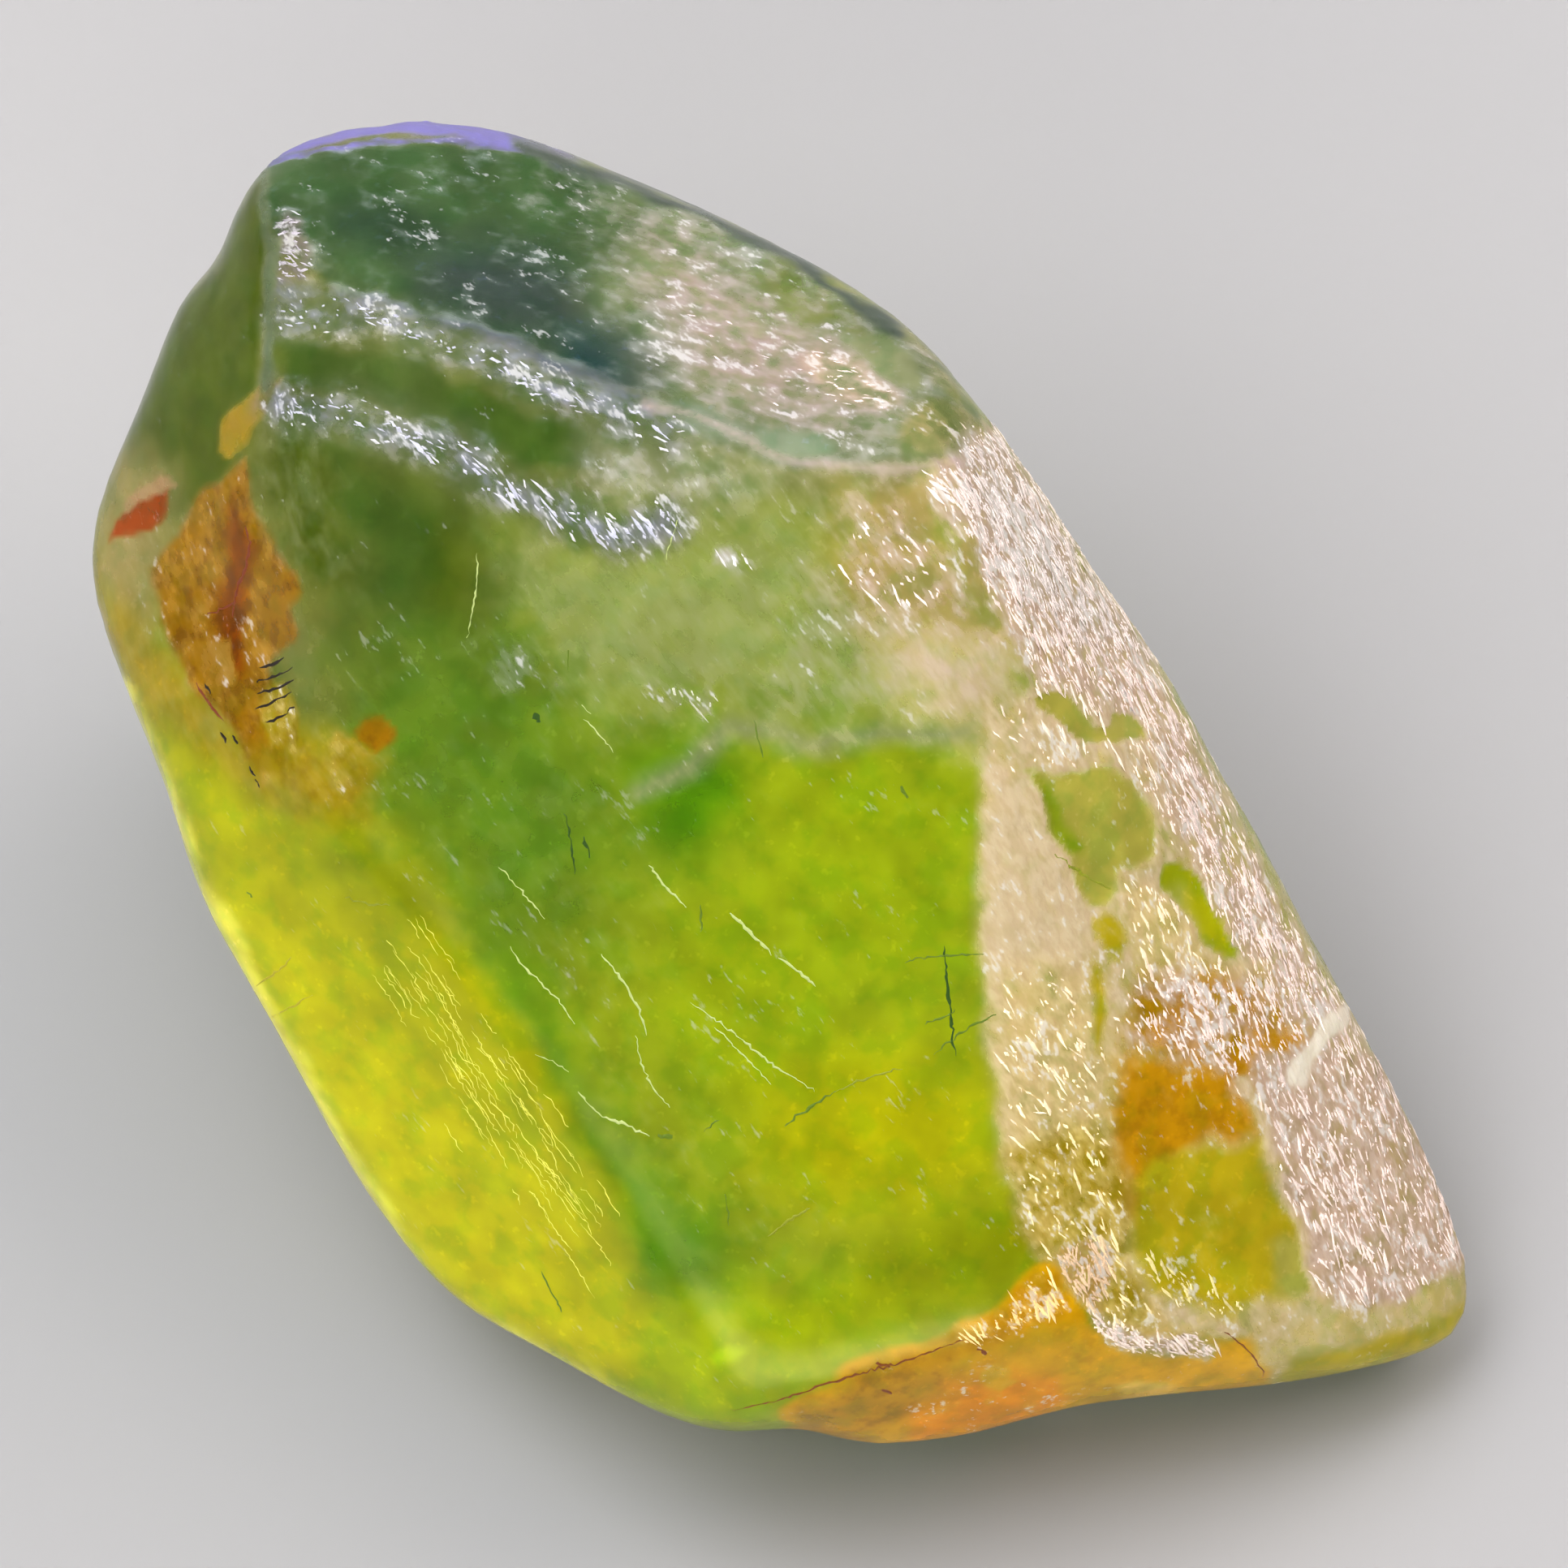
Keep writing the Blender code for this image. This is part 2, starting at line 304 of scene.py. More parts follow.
def lattice_noise(points, seed):
    """Smooth noise from -1 to 1 whose lumps are about one unit across."""
    cell = np.floor(points).astype(np.int64)
    share = points - cell
    share = share * share * (3 - 2 * share)
    total = np.zeros(len(points))
    for corner in np.ndindex(2, 2, 2):
        key = (cell + corner) @ np.array((73856093, 19349663, 83492791)) + seed * 9176263
        key = (key ^ (key >> 13)) * 1274126177 & 0xFFFFFFFF
        key = (key ^ (key >> 16)) * 974634511 & 0xFFFFFFFF
        weight = np.where(corner, share, 1 - share).prod(axis=1)
        total += weight * ((key >> 8) / 0x7FFFFF - 1)
    return total


def layered_noise(points, seed, layers=3):
    """Noise with finer, fainter noise on it, about -1 to 1."""
    total = sum(lattice_noise(points * 2**layer, seed + layer) / 2**layer for layer in range(layers))
    return total / (2 - 2.0 ** (1 - layers))


def grain_places(points, along, across, slope):
    """Points in a grain of the worn skin that slopes by degrees, in grain lengths and widths."""
    angle = math.radians(slope)
    run = points[:, 0] * math.cos(angle) + points[:, 1] * math.sin(angle)
    side = points[:, 1] * math.cos(angle) - points[:, 0] * math.sin(angle)
    return np.column_stack([run / along, side / across, points[:, 2] / across])


def stretch_distance(places, start, end):
    """How far each place is from a straight stretch."""
    run = end - start
    share = np.clip((places - start) @ run / (run @ run), 0, 1)
    return np.linalg.norm(places - start - share[:, None] * run, axis=1)


def polygon_reach(places, outline):
    """How far inside an outline each place is, in the outline's own units; places outside are below zero."""
    outline = np.asarray(outline, float)
    nearest = np.full(len(places), np.inf)
    inside = np.zeros(len(places), bool)
    for start, end in zip(outline, np.roll(outline, -1, axis=0)):
        nearest = np.minimum(nearest, stretch_distance(places, start, end))
        straddles = (start[1] > places[:, 1]) != (end[1] > places[:, 1])
        crossing = start[0] + (places[:, 1] - start[1]) * (end[0] - start[0]) / (end[1] - start[1] or 1e-9)
        inside ^= straddles & (places[:, 0] < crossing)
    return np.where(inside, nearest, -nearest)


def line_reach(places, line):
    """How far each place is from a line of several stretches."""
    line = np.asarray(line, float)
    return np.min([stretch_distance(places, start, end) for start, end in zip(line, line[1:])], axis=0)


# The coloured and frosted areas of the broad side


Area = namedtuple("Area", "outline soft tint frost bloom pits lift rust", defaults=(None,) * 6)


def oval(x, y, half_length, half_width, turn=0.0, steps=12):
    """An oval outline, turned clockwise by degrees."""
    turn = math.radians(turn)
    outline = []
    for step in range(steps):
        angle = 2 * math.pi * step / steps
        along, across = half_length * math.cos(angle), half_width * math.sin(angle)
        right = along * math.cos(turn) - across * math.sin(turn)
        down = along * math.sin(turn) + across * math.cos(turn)
        outline.append((x + right, y + down))
    return outline


# What the skin looks like where no area says otherwise
PLAIN_SKIN = Area(None, None, (140, 155, 20), 0.14, (222, 208, 170), 0.12, 0.0, 0.0)

# Areas in the photograph's pixels, each laid over those before it. After its outline, an area has the width
# of its soft edge in pixels, the tint seen through the skin, its frost (how much of the skin is rubbed dull),
# its film and sheen (the colour of that dullness, with the painted sheen of the lights in it), its pitting
# and glints (how pitted it is and how thickly it sparkles with painted glints), its lift (how far it stands
# up or down, in millimetres) and its rust. What it leaves out or gives as None stays as it was below it.
AREAS = {
    # Painted reflection: a violet tint and film on the crown top
    "crown top": Area(
        [(280, 240), (335, 212), (400, 197), (480, 192), (560, 192), (640, 202), (700, 225), (720, 160),
         (560, 100), (400, 100), (270, 170)], 44, VIOLET_REFLECTION, 0.55, PALE_VIOLET_REFLECTION, 0.0),
    "upper green": Area(
        [(170, 300), (300, 170), (480, 150), (800, 220), (1180, 420), (1210, 560), (1120, 640), (700, 700),
         (470, 930), (380, 900), (290, 860), (180, 700), (110, 600)], 60, MOSS, 0.1),
    "lower green": Area(
        [(450, 900), (700, 680), (1050, 640), (1220, 900), (1230, 1440), (1290, 1560), (1000, 1700),
         (800, 1500), (560, 1100)], 120, OLIVE_GREEN, 0.1),
    "left smooth face": Area(
        [(320, 200), (270, 290), (262, 330), (211, 373), (162, 500), (125, 590), (180, 640), (240, 610),
         (300, 555), (318, 480), (322, 380), (325, 300)], 20, DARK_OLIVE, 0.1, DULL_GREEN, 0.04),
    "left shoulder veil": Area(
        [(140, 560), (200, 570), (200, 650), (190, 760), (140, 790), (95, 700), (110, 640)],
        80, DRAB, 0.35, TAN, 0.15),
    "upper face": Area(
        [(325, 200), (400, 182), (480, 178), (620, 182), (776, 226), (980, 316), (1104, 400), (1200, 510),
         (1200, 560), (1010, 575), (950, 572), (850, 540), (760, 515), (640, 470), (520, 420), (400, 350),
         (335, 300)], 15, BOTTLE_GREEN, 0.12, SILVER, 0.22),
    "upper face lit edge": Area(
        [(640, 190), (776, 232), (900, 285), (820, 330), (720, 290), (640, 240)],
        90, BOTTLE_GREEN, 0.15, PEARL, 0.3),
    "dark patch by the corner": Area(oval(470, 275, 70, 28, 8), 70, NIGHT_GREEN, 0.06, SILVER, 0.3),
    "dark patch in the middle": Area(oval(630, 360, 120, 60, 20), 110, SLATE, 0.08, SILVER, 0.26),
    "dark patch by the ridge": Area(oval(765, 445, 70, 48, 10), 70, TEAL, 0.08, SILVER, 0.25),
    "frosted half": Area(
        [(800, 270), (880, 280), (980, 330), (1080, 400), (1150, 460), (1120, 560), (1000, 560), (900, 540),
         (830, 500), (800, 420), (760, 340)], 190, SAGE, 0.56, GREY_PINK, 0.45, 0.02),
    "green island by the rim": Area(oval(1085, 435, 62, 24, 30), 20, SAGE, 0.12, pits=0.15),
    "green island by the corner": Area(oval(1150, 525, 52, 34, -15), 26, KHAKI, 0.3, TAN, 0.35),
    "green island above": Area(oval(1000, 370, 75, 28, 28), 30, KHAKI, 0.25, pits=0.3),
    "teal island": Area(oval(978, 540, 45, 18, 10), 18, PALE_TEAL, 0.05, pits=0.1),
    "teal strip": Area(oval(870, 518, 65, 18, 18), 20, PALE_TEAL, 0.1, pits=0.15),
    "white corner": Area(oval(352, 315, 28, 55, 5), 25, None, 0.6, MAUVE, 0.75),
    "trough": Area(
        [(345, 405), (420, 425), (520, 440), (560, 475), (680, 510), (790, 545), (760, 590), (690, 580),
         (600, 565), (520, 520), (420, 480), (350, 480)], 30, DARK_FERN, 0.03, SILVER, 0.14),
    "trough end": Area(
        [(720, 530), (830, 545), (950, 585), (900, 625), (800, 620), (720, 600)],
        80, SAGE, 0.35, PEARL, 0.42),
    "shadow face": Area(
        [(395, 540), (480, 560), (560, 600), (625, 650), (620, 740), (600, 830), (520, 830), (450, 760),
         (400, 640)], 140, DARK_FERN, 0.08, DULL_GREEN, 0.1),
    "olive streak": Area(
        [(540, 640), (625, 660), (610, 780), (560, 820), (530, 740)], 80, DARK_OLIVE, 0.06, pits=0.05),
    "pale fan": Area(
        [(330, 500), (400, 540), (400, 640), (440, 720), (380, 720), (340, 620), (320, 560)],
        60, DARK_OLIVE, 0.28, DULL_GREEN, 0.2),
    "veil": Area(
        [(620, 650), (760, 665), (900, 620), (1020, 650), (1010, 780), (960, 880), (860, 900), (740, 880),
         (640, 840)], 190, PALE_GREEN, 0.4, VEIL_GREEN, 0.12),
    "veil end": Area(
        [(980, 690), (1060, 740), (1110, 800), (1110, 880), (1020, 905), (940, 885)],
        80, PALE_GREEN, 0.45, VEIL_GREEN, 0.3),
    "green below the shadow face": Area(
        [(420, 770), (620, 770), (690, 850), (630, 950), (470, 930)], 110, FERN, 0.08, DULL_GREEN, 0.12),
    "teal heart": Area(
        [(450, 870), (560, 840), (700, 860), (770, 940), (790, 1040), (730, 1130), (650, 1200), (600, 1180),
         (530, 1090), (450, 1010), (440, 930)], 247, LEAF_GREEN, 0.14, DULL_GREEN, 0.12),
    "deep green": Area(
        [(780, 930), (860, 900), (930, 930), (920, 1010), (860, 1080), (800, 1040)],
        100, GRASS_GREEN, 0.04, None, 0.05),
    "belly": Area(
        [(940, 930), (1100, 920), (1205, 960), (1215, 1200), (1225, 1420), (1100, 1480), (980, 1420),
         (880, 1380), (800, 1250), (830, 1120), (900, 1050)], 150, LIME, 0.05, PALE_LIME, 0.13),
    "belly gold": Area(
        [(950, 1340), (1100, 1290), (1220, 1330), (1240, 1450), (1150, 1500), (1020, 1490), (940, 1440)],
        160, YELLOW_GREEN, 0.04, PALE_YELLOW, 0.05),
    "belly green fold": Area(
        [(1050, 1540), (1180, 1480), (1290, 1480), (1300, 1560), (1220, 1610), (1120, 1640), (1040, 1620)],
        90, OLIVE, 0.0, None, 0.03),
    "lower lime": Area(
        [(760, 1600), (880, 1580), (1050, 1600), (1120, 1640), (1040, 1690), (940, 1755), (840, 1755),
         (760, 1720), (720, 1650)], 117, BRIGHT_LIME, 0.0, PALE_LIME, 0.05),
    "dark pocket": Area(
        [(800, 1490), (880, 1500), (910, 1560), (870, 1590), (800, 1570), (780, 1530)],
        117, GRASS_GREEN, 0.04, pits=0.06),
    "green stripe": Area(
        [(590, 1150), (650, 1200), (720, 1340), (800, 1450), (830, 1560), (780, 1560), (720, 1430),
         (640, 1300), (580, 1200)], 117, GRASS_GREEN, 0.08, DULL_GREEN, 0.05),
    "ochre below the shoulder": Area(
        [(100, 690), (190, 780), (300, 930), (350, 1010), (250, 960), (170, 880), (120, 780)],
        60, OCHRE, 0.25, PALE_OCHRE, 0.1),
    "flank": Area(
        [(180, 880), (330, 1000), (440, 1010), (520, 1090), (600, 1200), (700, 1370), (760, 1500),
         (800, 1640), (760, 1740), (660, 1700), (530, 1630), (415, 1436), (260, 1186), (190, 1043)],
        65, YELLOW_GREEN, 0.02, PALE_YELLOW, 0.08),
    "flank gold": Area(
        [(280, 1120), (380, 1160), (480, 1300), (560, 1450), (650, 1560), (760, 1660), (640, 1650),
         (490, 1530), (385, 1390), (285, 1220)], 90, YELLOW, 0.0, pits=0.03),
    "olive band": Area(
        [(390, 1020), (470, 1020), (560, 1110), (520, 1160), (440, 1110), (380, 1090)],
        80, OLIVE, 0.05, pits=0.03),
    "olive furrow": Area(
        [(500, 1320), (560, 1340), (700, 1530), (680, 1570), (560, 1440)], 70, YELLOW, 0.0, pits=0.03),
    "iron stain": Area(
        [(284, 575), (303, 562), (316, 582), (312, 618), (320, 654), (338, 681), (361, 708), (370, 735),
         (356, 748), (361, 780), (343, 798), (330, 830), (335, 870), (361, 897), (352, 930), (330, 960),
         (316, 975), (305, 940), (289, 915), (271, 888), (244, 861), (217, 816), (204, 780), (190, 735),
         (186, 699), (194, 681), (235, 613)], 14, BROWN, 0.3, GOLD_BROWN, 0.3, 0.0, 0.55),
    "iron heart": Area(
        [(284, 605), (296, 654), (314, 676), (300, 717), (296, 780), (300, 825), (284, 850), (262, 800),
         (258, 750), (272, 700), (276, 650)], 26, RUST_BROWN, 0.0, None, 0.1, rust=0.9),
    "gold in the stain": Area(
        [(322, 852), (345, 850), (368, 880), (372, 915), (350, 935), (330, 925), (318, 890)],
        16, OCHRE, 0.3, STRAW_GOLD, 0.4, rust=0.3),
    "ochre side": Area(
        [(325, 700), (358, 715), (366, 738), (352, 750), (358, 780), (338, 800), (322, 770)],
        18, BROWN, 0.1, pits=0.2, rust=0.6),
    "pale flake in the stain": Area(
        [(245, 790), (275, 790), (285, 840), (265, 850), (245, 815)], 10, BROWN, 0.5, TAWNY, rust=0),
    "ochre flake": Area(
        [(271, 546), (275, 510), (293, 492), (320, 474), (347, 474), (338, 496), (316, 519), (302, 550),
         (284, 562)], 9, OCHRE, 0.4, TAWNY, rust=0.15),
    "ochre below the stain": Area(
        [(300, 930), (380, 900), (470, 940), (440, 1010), (360, 1010), (310, 970)],
        60, OCHRE, 0.2, STRAW_GOLD, rust=0.25),
    "red spot": Area(
        [(132, 660), (145, 632), (168, 609), (195, 604), (200, 623), (186, 645), (163, 655)],
        7, RED, 0.0, PEACH, 0.1, rust=0.15),
    "pink rim of the red spot": Area(
        [(150, 612), (188, 582), (206, 600), (180, 608), (150, 628)], 8, CLAY, 0.4, TAN),
    "orange spot": Area(
        [(446, 884), (464, 882), (482, 897), (480, 915), (458, 925), (440, 915), (436, 900)],
        9, BROWN, 0.0, rust=0.5),
    "gold below the orange spot": Area(
        [(412, 905), (436, 912), (456, 930), (436, 950), (424, 985), (408, 1000), (404, 960)],
        12, OCHRE, 0.3, STRAW_GOLD, 0.3),
    "streaky olive": Area(
        [(1030, 600), (1130, 595), (1180, 680), (1230, 760), (1260, 800), (1180, 800), (1080, 780),
         (1020, 720)], 90, SAND, 0.4, ROSE, 0.52),
    "beige shelf": Area(
        [(1090, 780), (1240, 790), (1240, 870), (1200, 910), (1100, 850)], 120, BEIGE, 0.7, ROSE, 0.25),
    "rubbed right side": Area(
        [(1205, 880), (1300, 840), (1420, 870), (1500, 1020), (1600, 1200), (1830, 1540), (1700, 1640),
         (1560, 1640), (1400, 1660), (1300, 1580), (1240, 1440), (1215, 1200)], 30, BEIGE, 0.6, CREAM, 0.42),
    "rim frost": Area(
        [(1180, 560), (1225, 515), (1345, 697), (1405, 776), (1485, 922), (1545, 1040), (1650, 1214),
         (1720, 1340), (1600, 1330), (1540, 1200), (1470, 1060), (1410, 940), (1280, 850), (1240, 760),
         (1180, 650), (1140, 590)], 50, BEIGE, 0.8, ROSE, 0.72),
    # Real frost by the upper right rim, whitened by painted glare
    "frost with painted glare": Area(
        [(1180, 560), (1230, 530), (1340, 690), (1410, 800), (1330, 790), (1250, 720), (1200, 640)],
        80, None, 0.95, GREY_ROSE, 0.86),
    "strip": Area(
        [(1215, 955), (1265, 950), (1290, 1000), (1312, 1080), (1340, 1130), (1345, 1250), (1345, 1400),
         (1300, 1440), (1240, 1420), (1228, 1300), (1218, 1150)], 22, BEIGE, 0.86, CREAM, 0.34, 0.03),
    "strip gold": Area(
        [(1230, 1190), (1330, 1190), (1370, 1300), (1370, 1420), (1310, 1500), (1250, 1440), (1232, 1320)],
        60, BEIGE, 0.66, GOLDEN_CREAM, 0.5),
    "speckled strip": Area(
        [(1240, 1410), (1350, 1380), (1390, 1440), (1400, 1560), (1440, 1640), (1380, 1660), (1310, 1590),
         (1260, 1520)], 40, OCHRE, 0.42, STRAW_GOLD, 0.48, 0.02),
    "shoulder frost": Area(
        [(1210, 880), (1290, 850), (1420, 900), (1420, 960), (1300, 950), (1220, 960)],
        50, BEIGE, 0.78, CREAM, 0.5),
    "upper window": Area(
        [(1272, 862), (1282, 854), (1302, 852), (1320, 865), (1342, 882), (1355, 895), (1370, 897),
         (1372, 882), (1385, 880), (1400, 895), (1410, 912), (1390, 915), (1365, 915), (1340, 907),
         (1315, 895), (1295, 880), (1280, 870)], 7, WINDOW_GREEN, 0.0, None, 0.0, -0.04),
    "main window": Area(
        [(1262, 952), (1295, 960), (1325, 950), (1350, 945), (1380, 951), (1408, 965), (1420, 990),
         (1430, 1020), (1425, 1050), (1400, 1065), (1380, 1070), (1372, 1095), (1360, 1115), (1348, 1115),
         (1330, 1098), (1315, 1080), (1305, 1045), (1292, 1020), (1282, 995), (1275, 975)],
        10, WINDOW_GREEN, 0.1, PALE_LIME, 0.2, -0.04),
    "olive side of the window": Area(
        [(1275, 960), (1295, 975), (1310, 1020), (1330, 1060), (1310, 1060), (1290, 1015), (1278, 985)],
        12, OLIVE_GREEN, 0.0),
    "window tail": Area(
        [(1318, 1070), (1345, 1085), (1375, 1095), (1360, 1118), (1345, 1118), (1328, 1098)],
        10, WINDOW_GREEN, 0.1, pits=0.1),
    "side window": Area(
        [(1438, 1062), (1450, 1065), (1470, 1090), (1490, 1110), (1510, 1140), (1528, 1165), (1525, 1180),
         (1505, 1180), (1485, 1165), (1465, 1140), (1450, 1115), (1440, 1090), (1435, 1075)],
        7, YELLOW_GREEN, 0.0, None, 0.0, -0.04),
    "edge of the strip": Area(
        [(1334, 1185), (1346, 1185), (1356, 1250), (1350, 1300), (1340, 1260)],
        14, HONEY, 0.1, STRAW_GOLD, 0.2),
    "small window": Area(
        [(1340, 1130), (1380, 1132), (1395, 1148), (1380, 1165), (1370, 1185), (1355, 1180), (1345, 1160),
         (1338, 1145)], 14, HONEY, 0.15, pits=0.25),
    "pink shelf": Area(
        [(1380, 1080), (1440, 1100), (1490, 1180), (1560, 1190), (1560, 1240), (1420, 1210), (1385, 1150)],
        40, BEIGE, 0.62, GOLDEN_CREAM, 0.5),
    "amber": Area(
        [(1368, 1310), (1392, 1288), (1440, 1300), (1500, 1280), (1545, 1340), (1552, 1395), (1500, 1402),
         (1460, 1430), (1420, 1500), (1394, 1500), (1380, 1430), (1366, 1370)],
        40, AMBER, 0.08, STRAW_GOLD, 0.2, rust=0.26),
    "amber under the frost": Area(
        [(1392, 1210), (1440, 1190), (1560, 1210), (1610, 1270), (1600, 1330), (1545, 1350), (1440, 1300),
         (1385, 1290)], 50, AMBER, 0.42, ROSE, 0.62, rust=0.2),
    "lower window": Area(
        [(1394, 1460), (1440, 1425), (1500, 1405), (1550, 1400), (1580, 1470), (1610, 1560), (1600, 1605),
         (1500, 1610), (1430, 1590), (1400, 1540)], 24, HONEY, 0.1, PALE_YELLOW, 0.2),
    "grey of the lower window": Area(
        [(1560, 1540), (1610, 1530), (1620, 1600), (1570, 1600)], 25, WINDOW_GREEN, 0.2, pits=0.1),
    "corner triangle": Area(
        [(1545, 1300), (1600, 1290), (1690, 1300), (1790, 1470), (1820, 1550), (1770, 1590), (1690, 1620),
         (1630, 1600), (1590, 1480)], 22, SAND, 0.8, ROSE, 0.6, 0.02),
    "corner": Area(
        [(1530, 1612), (1620, 1590), (1690, 1615), (1770, 1590), (1822, 1545), (1845, 1600), (1785, 1680),
         (1650, 1705), (1540, 1715)], 26, BEIGE, 0.4, CREAM, 0.3),
    "olive rim of the corner": Area(
        [(1590, 1672), (1700, 1655), (1790, 1620), (1830, 1570), (1850, 1600), (1790, 1690), (1650, 1715),
         (1580, 1720)], 20, HONEY, 0.1, STRAW_GOLD, 0.15),
    "orange wedge": Area(
        [(955, 1745), (1030, 1692), (1080, 1665), (1140, 1650), (1180, 1635), (1220, 1610), (1260, 1580),
         (1290, 1560), (1310, 1575), (1330, 1620), (1350, 1670), (1370, 1715), (1310, 1740), (1250, 1760),
         (1180, 1790), (1040, 1790), (980, 1770)], 14, DEEP_GOLD, 0.0, BRIGHT_GOLD, 0.12, rust=0.12),
    "brown of the wedge": Area(
        [(965, 1750), (1035, 1700), (1110, 1672), (1180, 1655), (1170, 1710), (1120, 1750), (1060, 1790),
         (990, 1775)], 36, AMBER, 0.0, pits=0.05, rust=0.4),
    "glow of the wedge": Area(
        [(1120, 1740), (1180, 1700), (1230, 1690), (1320, 1700), (1300, 1740), (1200, 1775), (1130, 1780)],
        40, ORANGE, 0.06, BRIGHT_GOLD, 0.34, rust=0.1),
    "sparkling edge of the wedge": Area(
        [(1160, 1650), (1215, 1622), (1270, 1585), (1300, 1580), (1310, 1620), (1260, 1650), (1200, 1672)],
        24, AMBER, 0.26, BRIGHT_GOLD, 0.62, rust=0.2),
    "base band": Area(
        [(1310, 1640), (1420, 1650), (1540, 1640), (1570, 1710), (1423, 1740), (1320, 1750)],
        24, DEEP_GOLD, 0.05, STRAW_GOLD, 0.15, rust=0.2),
    # Painted highlight: a cream streak on the base band
    "painted highlight on the base band": Area(
        [(1372, 1712), (1440, 1704), (1468, 1714), (1440, 1726), (1380, 1728)],
        14, BRIGHT_GOLD, 0.2, GOLDEN_CREAM, 0.1),
    "white flakes on the base": Area(
        [(1340, 1618), (1375, 1628), (1420, 1655), (1470, 1640), (1505, 1655), (1490, 1675), (1400, 1672),
         (1350, 1645)], 14, BEIGE, 0.75, ROSE, 0.85, 0.02),
    "white flakes above the base": Area(
        [(1295, 1545), (1345, 1520), (1375, 1540), (1372, 1590), (1350, 1625), (1310, 1590)],
        16, BEIGE, 0.65, TAWNY, 0.82, 0.02),
    "golden speck": Area(
        [(1215, 1712), (1220, 1684), (1236, 1680), (1254, 1700), (1242, 1714)],
        6, DEEP_GOLD, 0.3, BRIGHT_GOLD, 0.2),
    "bright green spot": Area(oval(892, 1668, 24, 9, -15), 12, VIVID_GREEN),
    "flecks in the veil": Area(oval(850, 858, 48, 15, 5), 30, None, 0.4, SAGE, 0.6),
    "flecks by the second ridge": Area(oval(908, 692, 26, 12, 10), 16, None, 0.5, PEARL, 0.66),
    "flecks above the teal": Area(oval(640, 830, 60, 30, 30), 50, None, 0.25, PALE_TEAL, 0.42),
    "flakes in the lower window": Area(
        [(1430, 1540), (1490, 1580), (1560, 1600), (1520, 1620), (1440, 1600), (1405, 1570)],
        24, None, 0.35, HONEY, 0.6),
    "olive patch in the streaks": Area(
        [(1112, 600), (1150, 592), (1160, 640), (1140, 672), (1118, 650)], 16, SAND, 0.15, pits=0.25),
    "olive patch below it": Area(
        [(1184, 672), (1206, 668), (1222, 710), (1214, 742), (1192, 725)], 14, SAND, 0.15, pits=0.25),
    "flakes beyond the ridge": Area(oval(1045, 468, 62, 26, 28), 26, None, 0.6, ROSE, 0.6),
    "flakes at the corner's foot": Area(oval(1655, 1465, 60, 34, 55), 30, None, 0.8, ROSE, 0.7),
}

# Lines with a half width and a soft edge in pixels, laid over the areas in the same way
LINES = {
    # A raised ridge with a dull film, whose steel colour is partly a painted sheen along it
    "ridge with a painted sheen": (
        [(340, 362), (400, 362), (470, 385), (560, 405), (640, 430), (720, 460), (800, 495)], 13,
        Area(None, 20, None, 0.75, STEEL_SHEEN, 0.2, 0.03)),
    "sparkle below the ridge": (
        [(350, 385), (410, 385), (470, 398), (560, 432), (640, 465), (720, 495), (820, 530)], 26,
        Area(None, 46, GREY_FERN, 0.4, BLUE_GREY, 0.6)),
    "beige ridge": (
        [(800, 495), (900, 530), (960, 558), (1020, 575), (1120, 575), (1180, 568)], 6,
        Area(None, 22, None, 0.62, PINK, 0.12, 0.03)),
    "second ridge": (
        [(345, 505), (420, 502), (480, 522), (560, 552), (600, 592), (680, 625), (760, 652), (820, 640)], 28,
        Area(None, 52, GREY_FERN, 0.42, BLUE_GREY, 0.62, 0.03)),
    # Painted glow: a bright lemon line along the lower left rim
    "painted glow along the lower left rim": (
        [(150, 860), (198, 978), (240, 1090), (290, 1190), (345, 1290), (429, 1436), (494, 1550),
         (543, 1615), (609, 1652), (690, 1690), (745, 1722)], 16, Area(None, 22, LEMON_GLOW, 0.16, LEMON_GLOW, 0.0)),
    "upright ridge": (
        [(324, 205), (328, 300), (335, 400), (330, 480)], 8, Area(None, 12, GREY_FERN, 0.4, GREY_GREEN, 0.1)),
    # Painted reflection: violet lines along the crown edge and the crown
    "crown edge": (
        [(330, 205), (400, 182), (480, 177), (560, 178), (640, 184)], 4,
        Area(None, 6, None, 0.6, BRIGHT_VIOLET_REFLECTION, 0.35)),
    "crown": (
        [(350, 182), (400, 160), (480, 150), (560, 158), (640, 174)], 12,
        Area(None, 8, VIOLET_REFLECTION, 0.7, BRIGHT_VIOLET_REFLECTION, 0.0)),
    # Painted shade: a dark slate line along the top rim, under a thin grey-green film
    "painted shade on the top rim": (
        [(640, 178), (776, 226), (886, 271), (980, 316), (1049, 361), (1104, 400)], 8,
        Area(None, 14, SLATE, 0.3, GREY_GREEN, 0.0)),
    "soft step": (
        [(795, 968), (860, 930), (905, 888), (960, 900), (1000, 918), (1080, 900), (1190, 905)], 7,
        Area(None, 40, SAGE, 0.3, PALE_SAGE, 0.35)),
    "edge of the corner triangle": (
        [(1540, 1325), (1562, 1400), (1590, 1490), (1622, 1600)], 5,
        Area(None, 9, BEIGE, 0.7, CREAM, 0.3, 0.02)),
    "shaded lower rim": ([(700, 1712), (760, 1748), (850, 1770), (940, 1762)], 8, Area(None, 14, OLIVE)),
    # Painted highlight: a short white bar by the corner triangle
    "painted highlight bar": (
        [(1590, 1322), (1622, 1282), (1650, 1244)], 11,
        Area(None, 7, HIGHLIGHT_WHITE, 1.0, HIGHLIGHT_WHITE, 0.2, 0.01)),
}


